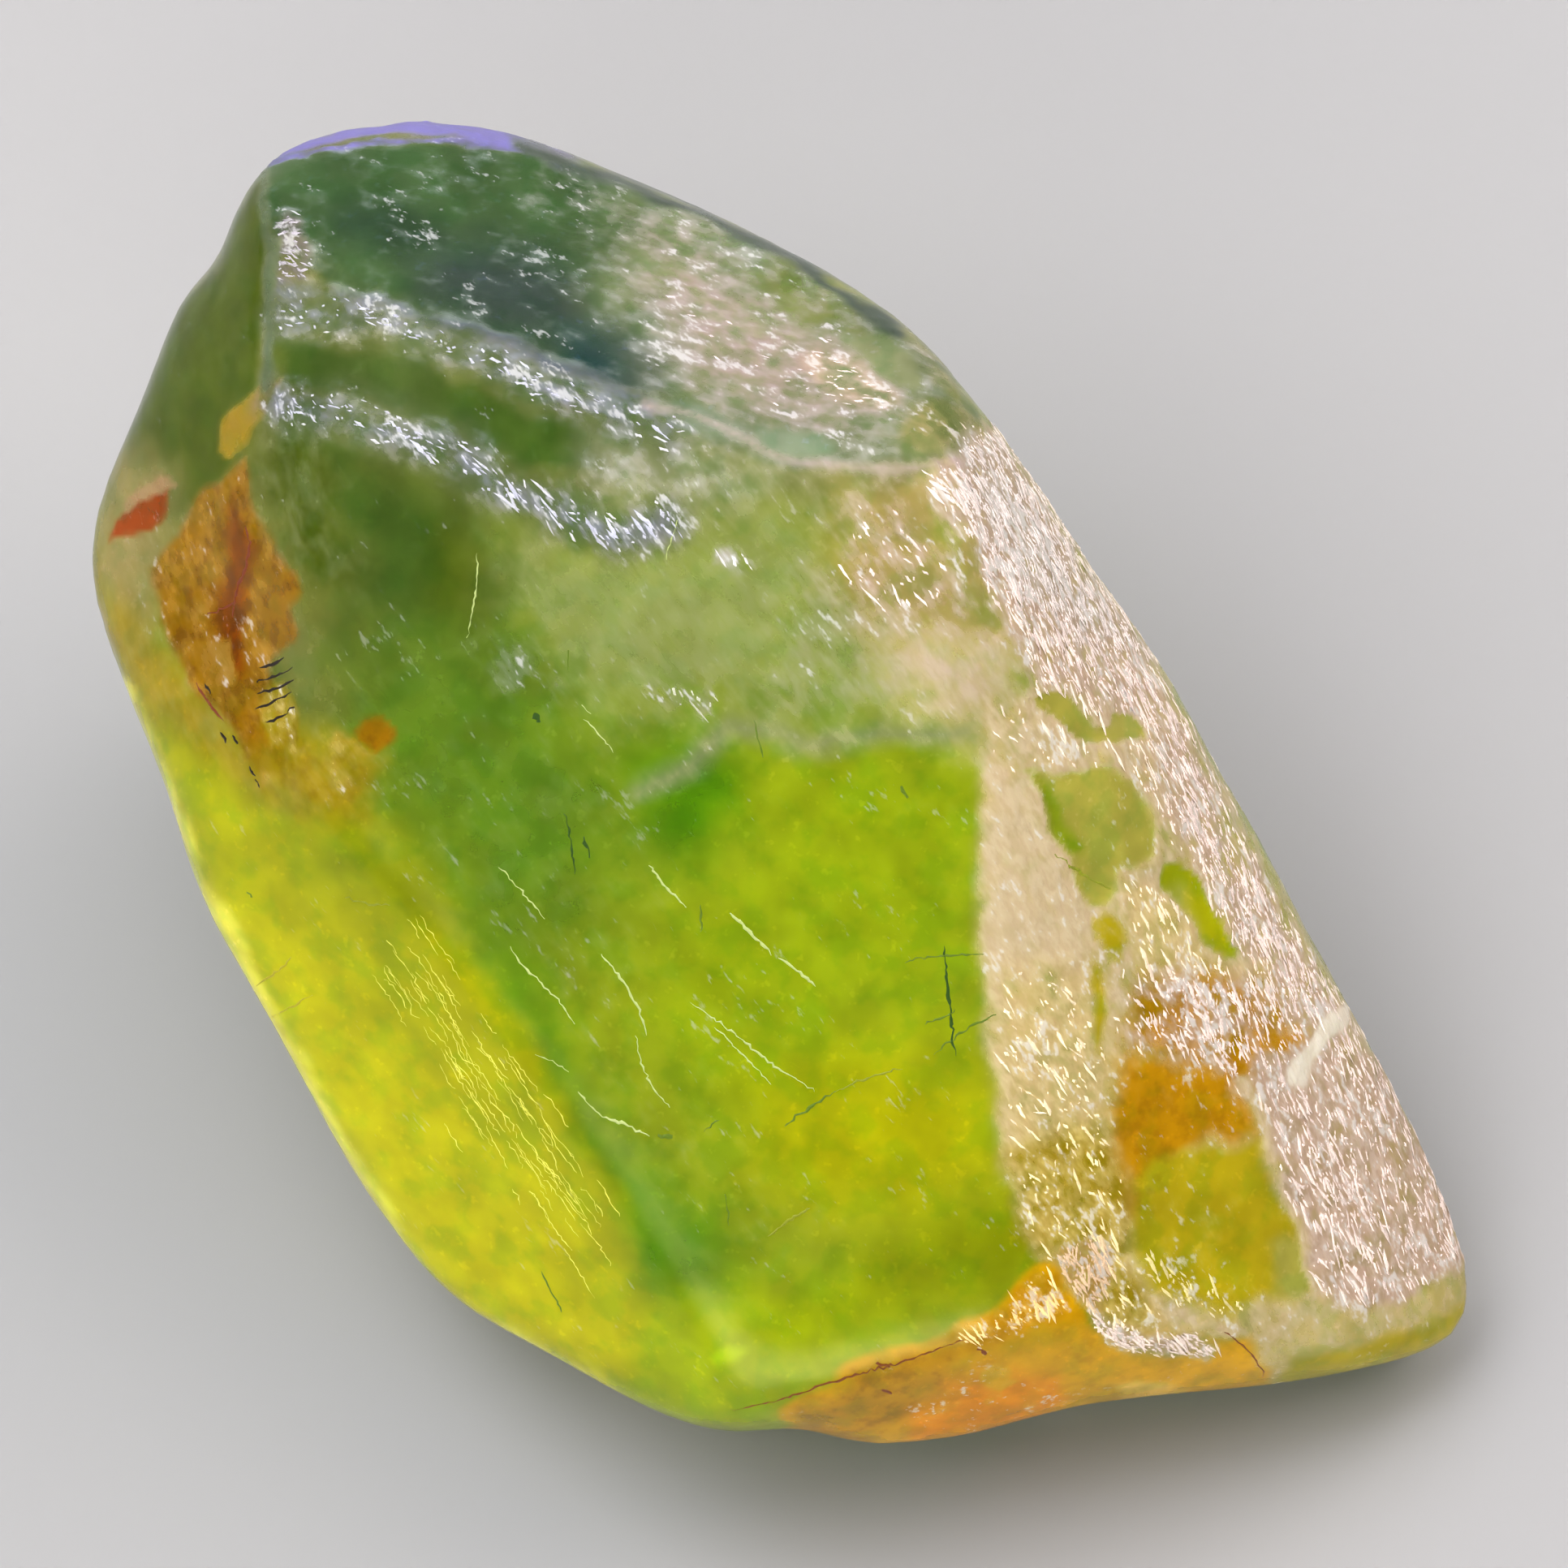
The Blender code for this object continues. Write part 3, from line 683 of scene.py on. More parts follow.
def painted(points, normals):
    """The tint, the film's colour with its painted sheen, frost, pitting and painted glints, lift, rust and
    slant of grain of every point of the stone.
    """
    wander = [layered_noise(points / EDGE_WANDER_SIZE, seed) for seed in (31, 47)]
    places = to_pixels(points) + EDGE_WANDER * np.column_stack(wander)
    front = smooth_step(*SEEN_FACING, normals[:, 2])
    colours, amounts = ("tint", "bloom"), ("frost", "pits", "lift", "rust")
    values = {name: np.tile(srgb(*getattr(PLAIN_SKIN, name)), (len(points), 1)) for name in colours}
    values.update({name: np.full(len(points), getattr(PLAIN_SKIN, name)) for name in amounts})
    reaches = [(area, polygon_reach(places, area.outline)) for area in AREAS.values()]
    reaches += [(area, half_width - line_reach(places, line)) for line, half_width, area in LINES.values()]
    for area, reach in reaches:
        share = smooth_step(-area.soft / 2, area.soft / 2, reach) * front
        for name in colours:
            if getattr(area, name) is not None:
                values[name] += share[:, None] * (np.array(srgb(*getattr(area, name))) - values[name])
        for name in amounts:
            if getattr(area, name) is not None:
                values[name] += share * (getattr(area, name) - values[name])
    worn = (1 - front) * np.clip(layered_noise(points / HIDDEN_PATCH_SIZE, 61) + 0.15, 0, 1)
    values["frost"] += HIDDEN_WEAR * worn
    values["pits"] += HIDDEN_WEAR * worn
    values["slant"] = smooth_step(*GRAIN_CHANGE, places[:, 1])
    return values


def roughened(points, normals, look):
    """The points with the relief of the worn skin: grain, pocks, steps and dents."""
    rubbed = layered_noise(grain_places(points, *RUBBED_SIZE, RUBBED_SLOPE), 3)
    ridged = layered_noise(grain_places(points, *RIDGE_SIZE, RIDGE_SLOPE), 5)
    grain = ridged + look["slant"] * (rubbed - ridged)
    lumps = layered_noise(points / LUMP_SIZE, 11)
    pocks = layered_noise(points / POCK_SIZE, 17, 2)
    swell = layered_noise(points / SWELL_SIZE, 23, 2)
    relief = (
        look["lift"]
        + GRAIN_HEIGHT * look["frost"] * grain
        + LUMP_HEIGHT * look["frost"] * lumps
        - POCK_DEPTH * look["pits"] * np.clip(pocks - 0.05, 0, 1)
        + PITTED_LUMP_HEIGHT * look["pits"] * lumps
        + SWELL_HEIGHT * swell
        - SKIN_DEPTH
    )
    off_floor = smooth_step(*SMOOTH_ABOVE_FLOOR, to_room(points)[:, 2] / MM)
    return points + normals * (relief * off_floor)[:, None]


# The stone's mesh


def mesh_arrays(mesh):
    """The places and facings of a mesh's points."""
    points = np.empty(len(mesh.vertices) * 3)
    mesh.vertices.foreach_get("co", points)
    normals = np.empty(len(mesh.vertices) * 3)
    mesh.vertices.foreach_get("normal", normals)
    return points.reshape(-1, 3), normals.reshape(-1, 3)


def set_points(mesh, points):
    mesh.vertices.foreach_set("co", np.ascontiguousarray(points, float).ravel())
    mesh.update()


def evened(mesh, passes):
    """Evens out the mesh, so that no tooth marks are left between its points."""
    edges = np.empty(len(mesh.edges) * 2, np.int64)
    mesh.edges.foreach_get("vertices", edges)
    ends = np.concatenate([edges.reshape(-1, 2), edges.reshape(-1, 2)[:, ::-1]])
    count = np.bincount(ends[:, 0], minlength=len(mesh.vertices))
    points, _ = mesh_arrays(mesh)
    for _ in range(passes):
        mean = np.column_stack(
            [np.bincount(ends[:, 0], points[ends[:, 1], axis], len(points)) for axis in range(3)]
        )
        points = 0.5 * points + 0.5 * mean / count[:, None]
    set_points(mesh, points)


def fine_stone():
    """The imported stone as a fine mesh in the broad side's axes, finest where the photograph sees it."""
    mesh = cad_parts["peridot_crystal"].data.copy()
    points, _ = mesh_arrays(mesh)
    set_points(mesh, to_broad_side(points))
    helper = bpy.data.objects.new("stone helper", mesh)
    bpy.context.scene.collection.objects.link(helper)
    even = helper.modifiers.new("Even", "REMESH")
    even.mode = "VOXEL"
    even.voxel_size = VOXEL
    bpy.context.view_layer.update()
    fine = bpy.data.meshes.new_from_object(helper.evaluated_get(bpy.context.evaluated_depsgraph_get()))
    bpy.data.objects.remove(helper, do_unlink=True)
    bpy.data.meshes.remove(mesh)
    evened(fine, EVENING_PASSES)
    stone = bmesh.new()
    stone.from_mesh(fine)
    stone.normal_update()
    seen = {edge for face in stone.faces if face.normal.z > FINE_FACING for edge in face.edges}
    bmesh.ops.subdivide_edges(stone, edges=list(seen), cuts=1, use_grid_fill=True)
    bmesh.ops.triangulate(stone, faces=[face for face in stone.faces if len(face.verts) > 4])
    stone.to_mesh(fine)
    stone.free()
    evened(fine, LAST_EVENING_PASSES)
    return fine


def make_stone():
    """The visible stone, with its look kept as values at its points."""
    mesh = fine_stone()
    points, normals = mesh_arrays(mesh)
    look = painted(points, normals)
    set_points(mesh, to_room(roughened(points, normals, look)))
    for name in ("tint", "bloom"):
        colours = np.column_stack([look[name], np.ones(len(points))])
        mesh.attributes.new(name, "FLOAT_COLOR", "POINT").data.foreach_set("color", colours.ravel())
    for name in ("frost", "pits", "rust", "slant"):
        mesh.attributes.new(name, "FLOAT", "POINT").data.foreach_set("value", look[name])
    mesh.shade_smooth()
    stone = bpy.data.objects.new("peridot_stone", mesh)
    bpy.context.scene.collection.objects.link(stone)
    mesh.materials.clear()
    mesh.materials.append(peridot_finish())
    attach(stone, "root")
    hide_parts("peridot_crystal")
    return stone


def feed(tree, socket, value):
    """Links a socket to another node's value, or sets it to a plain one."""
    if isinstance(value, bpy.types.NodeSocket):
        tree.links.new(value, socket)
    else:
        socket.default_value = value


def add(tree, kind, settings=None, **inputs):
    """A shader node with its settings, and its inputs set or linked. Input names use _ for a space."""
    node = tree.nodes.new(kind)
    for name, value in (settings or {}).items():
        setattr(node, name, value)
    for name, value in inputs.items():
        feed(tree, node.inputs[int(name[1:]) if name[0] == "_" else name.replace("_", " ")], value)
    return node


def maths(tree, operation, first, second=0.0, third=0.0):
    """A sum on one, two or three values."""
    return add(tree, "ShaderNodeMath", {"operation": operation}, _0=first, _1=second, _2=third).outputs[0]


def blend(tree, share, first, second, way="MIX"):
    """Two colours mixed, or joined in another way."""
    kind = {"data_type": "RGBA", "blend_type": way}
    return add(tree, "ShaderNodeMix", kind, Factor=share, _6=first, _7=second).outputs[2]


def attribute(tree, name, output="Fac"):
    return add(tree, "ShaderNodeAttribute", {"attribute_name": name}).outputs[output]


def grain_turn(slope):
    """How a grain that slopes by degrees lies in the room: its run, its side and its depth as x, y and z."""
    angle = math.radians(slope)
    run = AXES @ np.array((math.cos(angle), math.sin(angle), 0))
    side = AXES @ np.array((-math.sin(angle), math.cos(angle), 0))
    return Matrix(np.column_stack([run, side, AXES[:, 2]])).to_euler()


def worn_grain_group():
    """Grain of the worn skin, drawn out along its run, and round specks, both from 0 to 1."""
    tree = bpy.data.node_groups.new("worn grain", "ShaderNodeTree")
    tree.interface.new_socket("Turn", in_out="INPUT", socket_type="NodeSocketVector")
    for name in ("Length", "Width", "Speck Size"):
        tree.interface.new_socket(name, in_out="INPUT", socket_type="NodeSocketFloat")
    for name in ("Grain", "Specks"):
        tree.interface.new_socket(name, in_out="OUTPUT", socket_type="NodeSocketFloat")
    given, made = tree.nodes.new("NodeGroupInput"), tree.nodes.new("NodeGroupOutput")
    place = add(tree, "ShaderNodeTexCoord").outputs["Object"]
    length, width = given.outputs["Length"], given.outputs["Width"]
    size = add(tree, "ShaderNodeCombineXYZ", X=length, Y=width, Z=width)
    laid = {"Vector": place, "Rotation": given.outputs["Turn"], "Scale": size.outputs[0]}
    along = add(tree, "ShaderNodeMapping", {"vector_type": "TEXTURE"}, **laid)
    grain = add(tree, "ShaderNodeTexNoise", Vector=along.outputs[0], Scale=1.0, Detail=2.0, Roughness=0.5)
    fineness = maths(tree, "DIVIDE", 1.0, given.outputs["Speck Size"])
    specks = add(tree, "ShaderNodeTexNoise", Vector=place, Scale=fineness, Detail=2.0, Roughness=0.6)
    tree.links.new(grain.outputs["Fac"], made.inputs["Grain"])
    tree.links.new(specks.outputs["Fac"], made.inputs["Specks"])
    return tree


WORN_GRAIN = worn_grain_group()


def grain_node(tree, slope, length, width, speck_size):
    """Grain and specks of the worn skin, with the grain laid along a slope."""
    sizes = {"Length": length, "Width": width, "Speck_Size": speck_size}
    node = add(tree, "ShaderNodeGroup", {"node_tree": WORN_GRAIN}, **sizes)
    node.inputs["Turn"].default_value = grain_turn(slope)
    return node.outputs["Grain"], node.outputs["Specks"]


def new_material(name):
    """A material with its node tree and its shader."""
    material = bpy.data.materials.new(name)
    material.use_nodes = True
    return material, material.node_tree, material.node_tree.nodes["Principled BSDF"]


def ramp(tree, value, low, high, start=0.0, end=1.0):
    """A value eased from start to end as it goes from low to high."""
    node = add(tree, "ShaderNodeMapRange", {"interpolation_type": "SMOOTHSTEP"}, Value=value)
    for name, given in (("From Min", low), ("From Max", high), ("To Min", start), ("To Max", end)):
        node.inputs[name].default_value = given
    return node.outputs["Result"]


def clouds(tree, size, detail):
    """Smooth clouds of one size, from 0 to 1."""
    place = add(tree, "ShaderNodeTexCoord").outputs["Object"]
    node = add(tree, "ShaderNodeTexNoise", Vector=place, Scale=1 / size, Detail=detail)
    return node.outputs["Fac"]


def peridot_finish():
    """Olive green glass under a worn skin: a thin dull film with painted sheen in its colour and painted
    shade in its gaps, and painted glints as bright flakes where it is rubbed.
    """
    material, tree, shader = new_material("worn peridot")
    rubbed, specks = grain_node(tree, *RUBBED_GRAIN)
    ridged, _ = grain_node(tree, *RIDGE_GRAIN)
    fine, _ = grain_node(tree, *FINE_GRAIN)
    slant, frost, pits, rust = (attribute(tree, name) for name in ("slant", "frost", "pits", "rust"))
    grain = maths(tree, "MULTIPLY_ADD", maths(tree, "SUBTRACT", rubbed, ridged), slant, ridged)
    cluster = maths(tree, "SUBTRACT", clouds(tree, CLUSTER_SIZE, 1.0), 0.5)

    # the dull film, smooth where the skin is whole and patchy where it is pitted
    patches = maths(tree, "SUBTRACT", clouds(tree, FILM_PATCH_SIZE, 2.0), 0.5)
    unevenness = maths(tree, "MULTIPLY_ADD", patches, 1.3, maths(tree, "MULTIPLY", cluster, 0.6))
    unevenness = maths(tree, "MULTIPLY_ADD", maths(tree, "SUBTRACT", grain, 0.5), 0.8, unevenness)
    patchy = maths(tree, "MULTIPLY_ADD", unevenness, ramp(tree, pits, 0.05, 0.5, 0.22, 1.1), frost)
    film = ramp(tree, patchy, 0.08, 0.94, 0.0, 0.94)

    # painted glints: bright flakes, thick in clusters, drawn out along the grain
    chance = maths(tree, "MULTIPLY_ADD", fine, 0.40, maths(tree, "MULTIPLY", grain, 0.64))
    chance = maths(tree, "MULTIPLY_ADD", pits, 0.23, chance)
    chance = maths(tree, "MULTIPLY_ADD", cluster, 0.40, chance)
    flakes = maths(tree, "MULTIPLY", ramp(tree, chance, 0.69, 0.81), ramp(tree, pits, 0.08, 0.40, 0.20, 0.85))
    # painted shade in the gaps of the grain, stronger where the skin is more pitted
    depth = maths(tree, "MULTIPLY_ADD", pits, 0.6, 0.08)
    gap_shade = maths(tree, "MULTIPLY", ramp(tree, grain, 0.58, 0.40), depth)

    # the glass below, with iron in its stains
    mottle = ramp(tree, clouds(tree, MOTTLE_SIZE, 2.0), 0.25, 0.75, 0.84, 1.17)
    glass = blend(tree, 1.0, attribute(tree, "tint", "Color"), mottle, "MULTIPLY")
    deeper = ramp(tree, clouds(tree, DEEP_PATCH_SIZE, 3.0), 0.44, 0.64, 0.0, 0.54)
    glass = blend(tree, deeper, glass, blend(tree, 1.0, glass, DEEPER_CAST, "MULTIPLY"))
    lighter = ramp(tree, specks, 0.60, 0.74, 0.0, 0.45)
    glass = blend(tree, lighter, glass, blend(tree, 1.0, glass, PALER_CAST, "MULTIPLY"))
    veins = maths(tree, "MULTIPLY", ramp(tree, clouds(tree, RUST_VEIN_SIZE, 3.0), 0.44, 0.66), rust)
    glass = blend(tree, maths(tree, "MULTIPLY", veins, 0.85), glass, RUST_COLOUR)

    # the dull film in its colour with painted sheen, with painted shade in its gaps
    bloom = attribute(tree, "bloom", "Color")
    dull = blend(tree, gap_shade, bloom, blend(tree, 1.0, bloom, GAP_SHADE_CAST, "MULTIPLY"))
    colour = blend(tree, film, glass, dull)
    # painted glints: the flakes are lightened towards white
    bright = blend(tree, 0.6, bloom, WHITE)
    colour = blend(tree, flakes, colour, bright)
    tree.links.new(colour, shader.inputs["Base Color"])
    rough = maths(tree, "MULTIPLY_ADD", film, 0.30, 0.20)
    tree.links.new(rough, shader.inputs["Roughness"])
    height = maths(tree, "MULTIPLY_ADD", fine, 0.35, grain)
    strength = maths(tree, "MULTIPLY_ADD", film, 0.7, 0.06)
    relief = add(tree, "ShaderNodeBump", Strength=strength, Distance=SKIN_BUMP, Height=height)
    tree.links.new(relief.outputs["Normal"], shader.inputs["Normal"])
    shader.inputs["IOR"].default_value = PERIDOT_IOR
    shader.inputs["Specular IOR Level"].default_value = 0.15
    shader.inputs["Specular Tint"].default_value = GLOSS_TINT
    shader.inputs["Transmission Weight"].default_value = 0.5
    body = add(tree, "ShaderNodeVolumeAbsorption", Color=PERIDOT_ABSORPTION, Density=ABSORPTION_DENSITY)
    tree.links.new(body.outputs["Volume"], tree.nodes["Material Output"].inputs["Volume"])
    return material


# Small things that lie on the stone's skin


def stone_skin(mesh):
    """A tree for finding the skin, in the broad side's axes, under any pixel of the photograph."""
    points, _ = mesh_arrays(mesh)
    faces = [tuple(face.vertices) for face in mesh.polygons]
    return BVHTree.FromPolygons([tuple(point) for point in to_broad_side(points)], faces)


def under_pixels(skin, places):
    """The skin's points and facings under a row of pixels."""
    found = []
    for x, y in places:
        height = FIRST_HEIGHT
        for _ in range(LOOKS):
            share = 1 - (height - GIRDLE_PLANE) * MM / CAMERA_DISTANCE
            u, v = from_pixels([(x, y)])[0] * share
            point, facing, _, _ = skin.ray_cast(Vector((u, v, ABOVE_STONE)), Vector((0, 0, -1)))
            if point is None:
                break
            height = point.z
        if point is not None:
            found.append((np.array(point), np.array(facing)))
    return found


def smooth_line(corners, step):
    """Places at even steps along the smooth line through the corners."""
    corners = np.asarray(corners, float)
    ends = np.vstack([2 * corners[0] - corners[1], corners, 2 * corners[-1] - corners[-2]])
    places = []
    for before, start, end, beyond in zip(ends, ends[1:], ends[2:], ends[3:]):
        count = max(2, round(np.linalg.norm(end - start) / step))
        for share in np.arange(count) / count:
            places.append(
                start
                + 0.5 * share * (end - before)
                + share**2 * (before - 2.5 * start + 2 * end - 0.5 * beyond)
                + share**3 * (1.5 * (start - end) + 0.5 * (beyond - before))
            )
    return np.array(places + [corners[-1]])


# A mark's path and width are in pixels
Mark = namedtuple("Mark", "path width colour", defaults=(PALE_SCRATCH,))


def ribs(name, marks, skin, finish, rise, seed):
    """One piece of many fine ribs that follow lines on the skin, pointed at both ends and slightly uneven."""
    draw = np.random.default_rng(seed)
    corners, faces, colours = [], [], []
    for mark in marks:
        places = smooth_line(mark.path, RIB_STEP)
        places = places + draw.normal(0, RIB_WOBBLE, places.shape)
        row = under_pixels(skin, places)
        if len(row) < 3:
            continue
        points, facings = (np.array(part) for part in zip(*row))
        run = np.gradient(points, axis=0)
        run /= np.linalg.norm(run, axis=1)[:, None]
        side = np.cross(facings, run)
        side /= np.linalg.norm(side, axis=1)[:, None]
        taper = np.sqrt(np.sin(math.pi * (np.arange(len(points)) + 0.5) / len(points)))
        thickness = RIB_SHARE * mark.width * MM_PER_PIXEL
        half = thickness * taper * draw.uniform(*RIB_UNEVENNESS, len(points))
        first = len(corners)
        for point, facing, across, reach in zip(points, facings, side, half):
            corners.append(point + across * reach)
            corners.append(point + facing * rise * min(1.0, reach / RIB_FULL_RISE))
            corners.append(point - across * reach)
            corners.append(point - facing * RIB_SINK)
        colours += [srgb(*mark.colour)] * (4 * len(points))
        for step in range(len(points) - 1):
            here, there = first + 4 * step, first + 4 * step + 4
            for corner in range(4):
                beyond = (corner + 1) % 4
                faces.append((here + corner, here + beyond, there + beyond, there + corner))
        last = first + 4 * (len(points) - 1)
        faces.append((first + 3, first + 2, first + 1, first))
        faces.append((last, last + 1, last + 2, last + 3))
    return skin_piece(name, corners, faces, colours, finish)


def skin_piece(name, corners, faces, colours, finish):
    """A piece of the stone made in the broad side's axes, with its own colours, that rides with the stone."""
    mesh = bpy.data.meshes.new(name)
    mesh.from_pydata([tuple(corner) for corner in to_room(corners)], [], [tuple(face) for face in faces])
    colours = np.column_stack([np.asarray(colours), np.ones(len(corners))])
    mesh.attributes.new("tint", "FLOAT_COLOR", "POINT").data.foreach_set("color", colours.ravel())
    mesh.materials.append(finish)
    check = bmesh.new()
    check.from_mesh(mesh)
    bmesh.ops.recalc_face_normals(check, faces=check.faces)
    check.to_mesh(mesh)
    check.free()
    piece = bpy.data.objects.new(name, mesh)
    bpy.context.scene.collection.objects.link(piece)
    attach(piece, "root")
    return piece


def slivers(name, stone, weights, finish, count, sizes, jitter, sink, brighten, seed):
    """Many small pointed chips strewn over the skin, most where the weights are high, along the grain.

    jitter is how far they stray from the grain's slope, in radians, sink the share of their thickness that
    lies in the skin, and brighten how far their colour goes from the skin's film and sheen colour to white,
    partly a painted glint."""
    draw = np.random.default_rng(seed)
    points, normals = mesh_arrays(stone.data)
    points, normals = to_broad_side(points), normals @ AXES
    weights = weights * smooth_step(0.1, 0.6, to_room(points)[:, 2] / MM)
    chosen = draw.choice(len(points), size=count, replace=False, p=weights / weights.sum())
    centres, facings = points[chosen], normals[chosen]
    slant = read_attribute(stone.data, "slant")[chosen]
    angle = np.radians(RIDGE_SLOPE + slant * (RUBBED_SLOPE - RIDGE_SLOPE)) + draw.normal(0, jitter, count)
    run = np.column_stack([np.cos(angle), np.sin(angle), np.zeros(count)])
    run -= facings * (run * facings).sum(axis=1)[:, None]
    run /= np.linalg.norm(run, axis=1)[:, None]
    side = np.cross(facings, run)
    tip_along, tip_across = (draw.normal(0, tip, (count, 1)) for tip in CHIP_TIPS)
    facings = facings + run * tip_along + side * tip_across
    length, width, thickness = (draw.uniform(low, high, (count, 1)) for low, high in sizes)
    middle = draw.uniform(-0.3, 0.3, (count, 1))
    centres = centres - facings * sink * thickness
    corners = np.stack(
        [
            centres + run * length / 2,
            centres + side * width / 2 + run * middle * length,
            centres - run * length / 2,
            centres - side * width / 2 - run * middle * length,
            centres + facings * thickness,
            centres - facings * thickness,
        ],
        axis=1,
    )
    faces = []
    for corner in range(4):
        beyond = (corner + 1) % 4
        faces += [(corner, beyond, 4), (beyond, corner, 5)]
    faces = np.array(faces)[None] + 6 * np.arange(count)[:, None, None]
    bloom = np.empty(len(points) * 4)
    stone.data.attributes["bloom"].data.foreach_get("color", bloom)
    bloom = bloom.reshape(-1, 4)[chosen, :3]
    bloom = np.clip(bloom + brighten * (1 - bloom), 0, 1) * draw.uniform(0.75, 1.1, (count, 1))
    colours = np.repeat(np.clip(bloom, 0, 1), 6, axis=0)
    return skin_piece(name, corners.reshape(-1, 3), faces.reshape(-1, 3), colours, finish)


def chip_finish(name, roughness, gloss_spread, speck_size):
    """Small broken faces of the stone's own skin, whitened by wear; on the flakes the whitening is partly a
    painted glint.
    """
    material, tree, shader = new_material(name)
    grain, specks = grain_node(tree, *CHIP_GRAIN, speck_size)
    shade = maths(tree, "MULTIPLY_ADD", specks, 0.6, 0.70)
    colour = blend(tree, 1.0, attribute(tree, "tint", "Color"), shade, "MULTIPLY")
    tree.links.new(colour, shader.inputs["Base Color"])
    rough = maths(tree, "MULTIPLY_ADD", grain, gloss_spread, roughness)
    tree.links.new(rough, shader.inputs["Roughness"])
    relief = add(tree, "ShaderNodeBump", Strength=0.5, Distance=CHIP_BUMP, Height=specks)
    tree.links.new(relief.outputs["Normal"], shader.inputs["Normal"])
    shader.inputs["IOR"].default_value = PERIDOT_IOR
    return material


SCRATCHES = [
    Mark([(615, 1068), (640, 1095), (672, 1133)], 4),
    Mark([(628, 1165), (645, 1190), (672, 1215), (690, 1235), (708, 1262)], 5.5),
    Mark([(740, 1175), (765, 1205), (785, 1240), (797, 1275)], 6.5),
    Mark([(783, 1275), (790, 1310), (808, 1345), (826, 1365)], 4),
    Mark([(850, 1235), (900, 1270), (950, 1310), (1005, 1345)], 5),
    Mark([(880, 1265), (915, 1300), (950, 1335)], 4),
    Mark([(712, 1345), (738, 1372), (770, 1385), (800, 1400)], 7),
    Mark([(588, 682), (586, 730), (575, 785)], 4),
    Mark([(720, 885), (738, 905), (756, 926)], 3),
    Mark([(716, 868), (728, 880)], 3),
    Mark([(800, 1066), (820, 1092), (846, 1118)], 6.5),
    Mark([(900, 1125), (925, 1150), (950, 1175)], 8),
    Mark([(960, 1180), (985, 1198), (1005, 1215)], 6.5),
    Mark([(700, 1320), (680, 1308), (660, 1300)], 3),
    Mark([(820, 690), (835, 640)], 3),
]

NEEDLES = [
    Mark([(1163, 1165), (1167, 1210), (1172, 1255), (1176, 1300)], 8, NEEDLE_DARK),
    Mark([(1115, 1185), (1160, 1177), (1212, 1176)], 5.5, NEEDLE_GREEN),
    Mark([(1138, 1262), (1170, 1250), (1176, 1244)], 5.5, NEEDLE_GREEN),
    Mark([(1150, 1300), (1190, 1268), (1228, 1250)], 5.5, NEEDLE_GREEN),
    Mark([(966, 1388), (1005, 1360), (1030, 1345)], 7, NEEDLE_GREEN),
    Mark([(1030, 1345), (1065, 1330), (1112, 1316)], 5.5, NEEDLE_OLIVE),
    Mark([(696, 1002), (704, 1040), (708, 1076)], 5.5, NEEDLE_DARK),
    Mark([(718, 1030), (728, 1056)], 8, NEEDLE_DARK),
    Mark([(930, 888), (940, 934)], 5.5, NEEDLE_GREEN),
    Mark([(863, 1115), (864, 1148)], 5.5, NEEDLE_GREEN),
    Mark([(666, 1566), (680, 1592), (693, 1616)], 7, NEEDLE_GREEN),
    Mark([(810, 1398), (828, 1402)], 12, NEEDLE_GREEN),
    Mark([(866, 1395), (885, 1378)], 4, NEEDLE_GREEN),
    Mark([(893, 1470), (898, 1510)], 4, NEEDLE_GREEN),
    Mark([(946, 1524), (975, 1502), (1000, 1488)], 7, NEEDLE_OLIVE),
    Mark([(659, 878), (664, 890)], 16, NEEDLE_DARK),
    Mark([(699, 800), (701, 826)], 5.5, NEEDLE_GREEN),
    Mark([(1112, 968), (1116, 985)], 7, NEEDLE_GREEN),
    Mark([(1300, 1052), (1335, 1078), (1370, 1095)], 7, NEEDLE_OLIVE),
    Mark([(315, 1215), (340, 1198), (360, 1178)], 5.5, NEEDLE_YELLOW),
    Mark([(328, 1258), (352, 1244), (385, 1226)], 5.5, NEEDLE_YELLOW),
    Mark([(425, 1106), (455, 1114), (480, 1116)], 5.5, NEEDLE_OLIVE),
    Mark([(306, 1100), (310, 1104)], 8, NEEDLE_GREEN),
    Mark([(1510, 1640), (1545, 1672), (1560, 1700)], 5.5, NEEDLE_BROWN),
    Mark([(900, 1738), (960, 1725), (1040, 1698), (1120, 1675), (1190, 1650)], 7, NEEDLE_BROWN),
    Mark([(1080, 1680), (1096, 1684)], 11, NEEDLE_BROWN),
    Mark([(1205, 1662), (1216, 1668)], 9.5, NEEDLE_BROWN),
    Mark([(1086, 1712), (1098, 1716)], 9.5, NEEDLE_BROWN),
]


# The black ticks beside the iron stain, from end to end, the black specks below them, and the stain's veins
TICKS = (
    ((349, 811), (320, 824)), ((359, 823), (316, 840)), ((362, 838), (316, 856)), ((358, 853), (314, 874)),
    ((362, 871), (328, 890)),
)
SPECKS = ((275, 909), (290, 911), (311, 950), (317, 965), (256, 848))
TICK_WIDTH = 7
IRON_VEINS = [
    Mark([(302, 650), (308, 672), (302, 700), (290, 735), (286, 762)], 9, IRON_BROWN),
    Mark([(240, 840), (256, 866), (276, 888)], 7, IRON_BROWN),
    Mark([(292, 740), (272, 752), (256, 756)], 5, IRON_BROWN),
]


def stain_marks():
    """The ticks and specks beside the iron stain and the veins through it."""
    marks = []
    for start, end in TICKS:
        middle = ((start[0] + end[0]) / 2 + 2, (start[1] + end[1]) / 2 + 1)
        marks.append(Mark([start, middle, end], TICK_WIDTH, TICK_BLACK))
    for x, y in SPECKS:
        marks.append(Mark([(x - 3, y - 6), (x, y), (x + 3, y + 6)], TICK_WIDTH, TICK_BLACK))
    return marks + IRON_VEINS


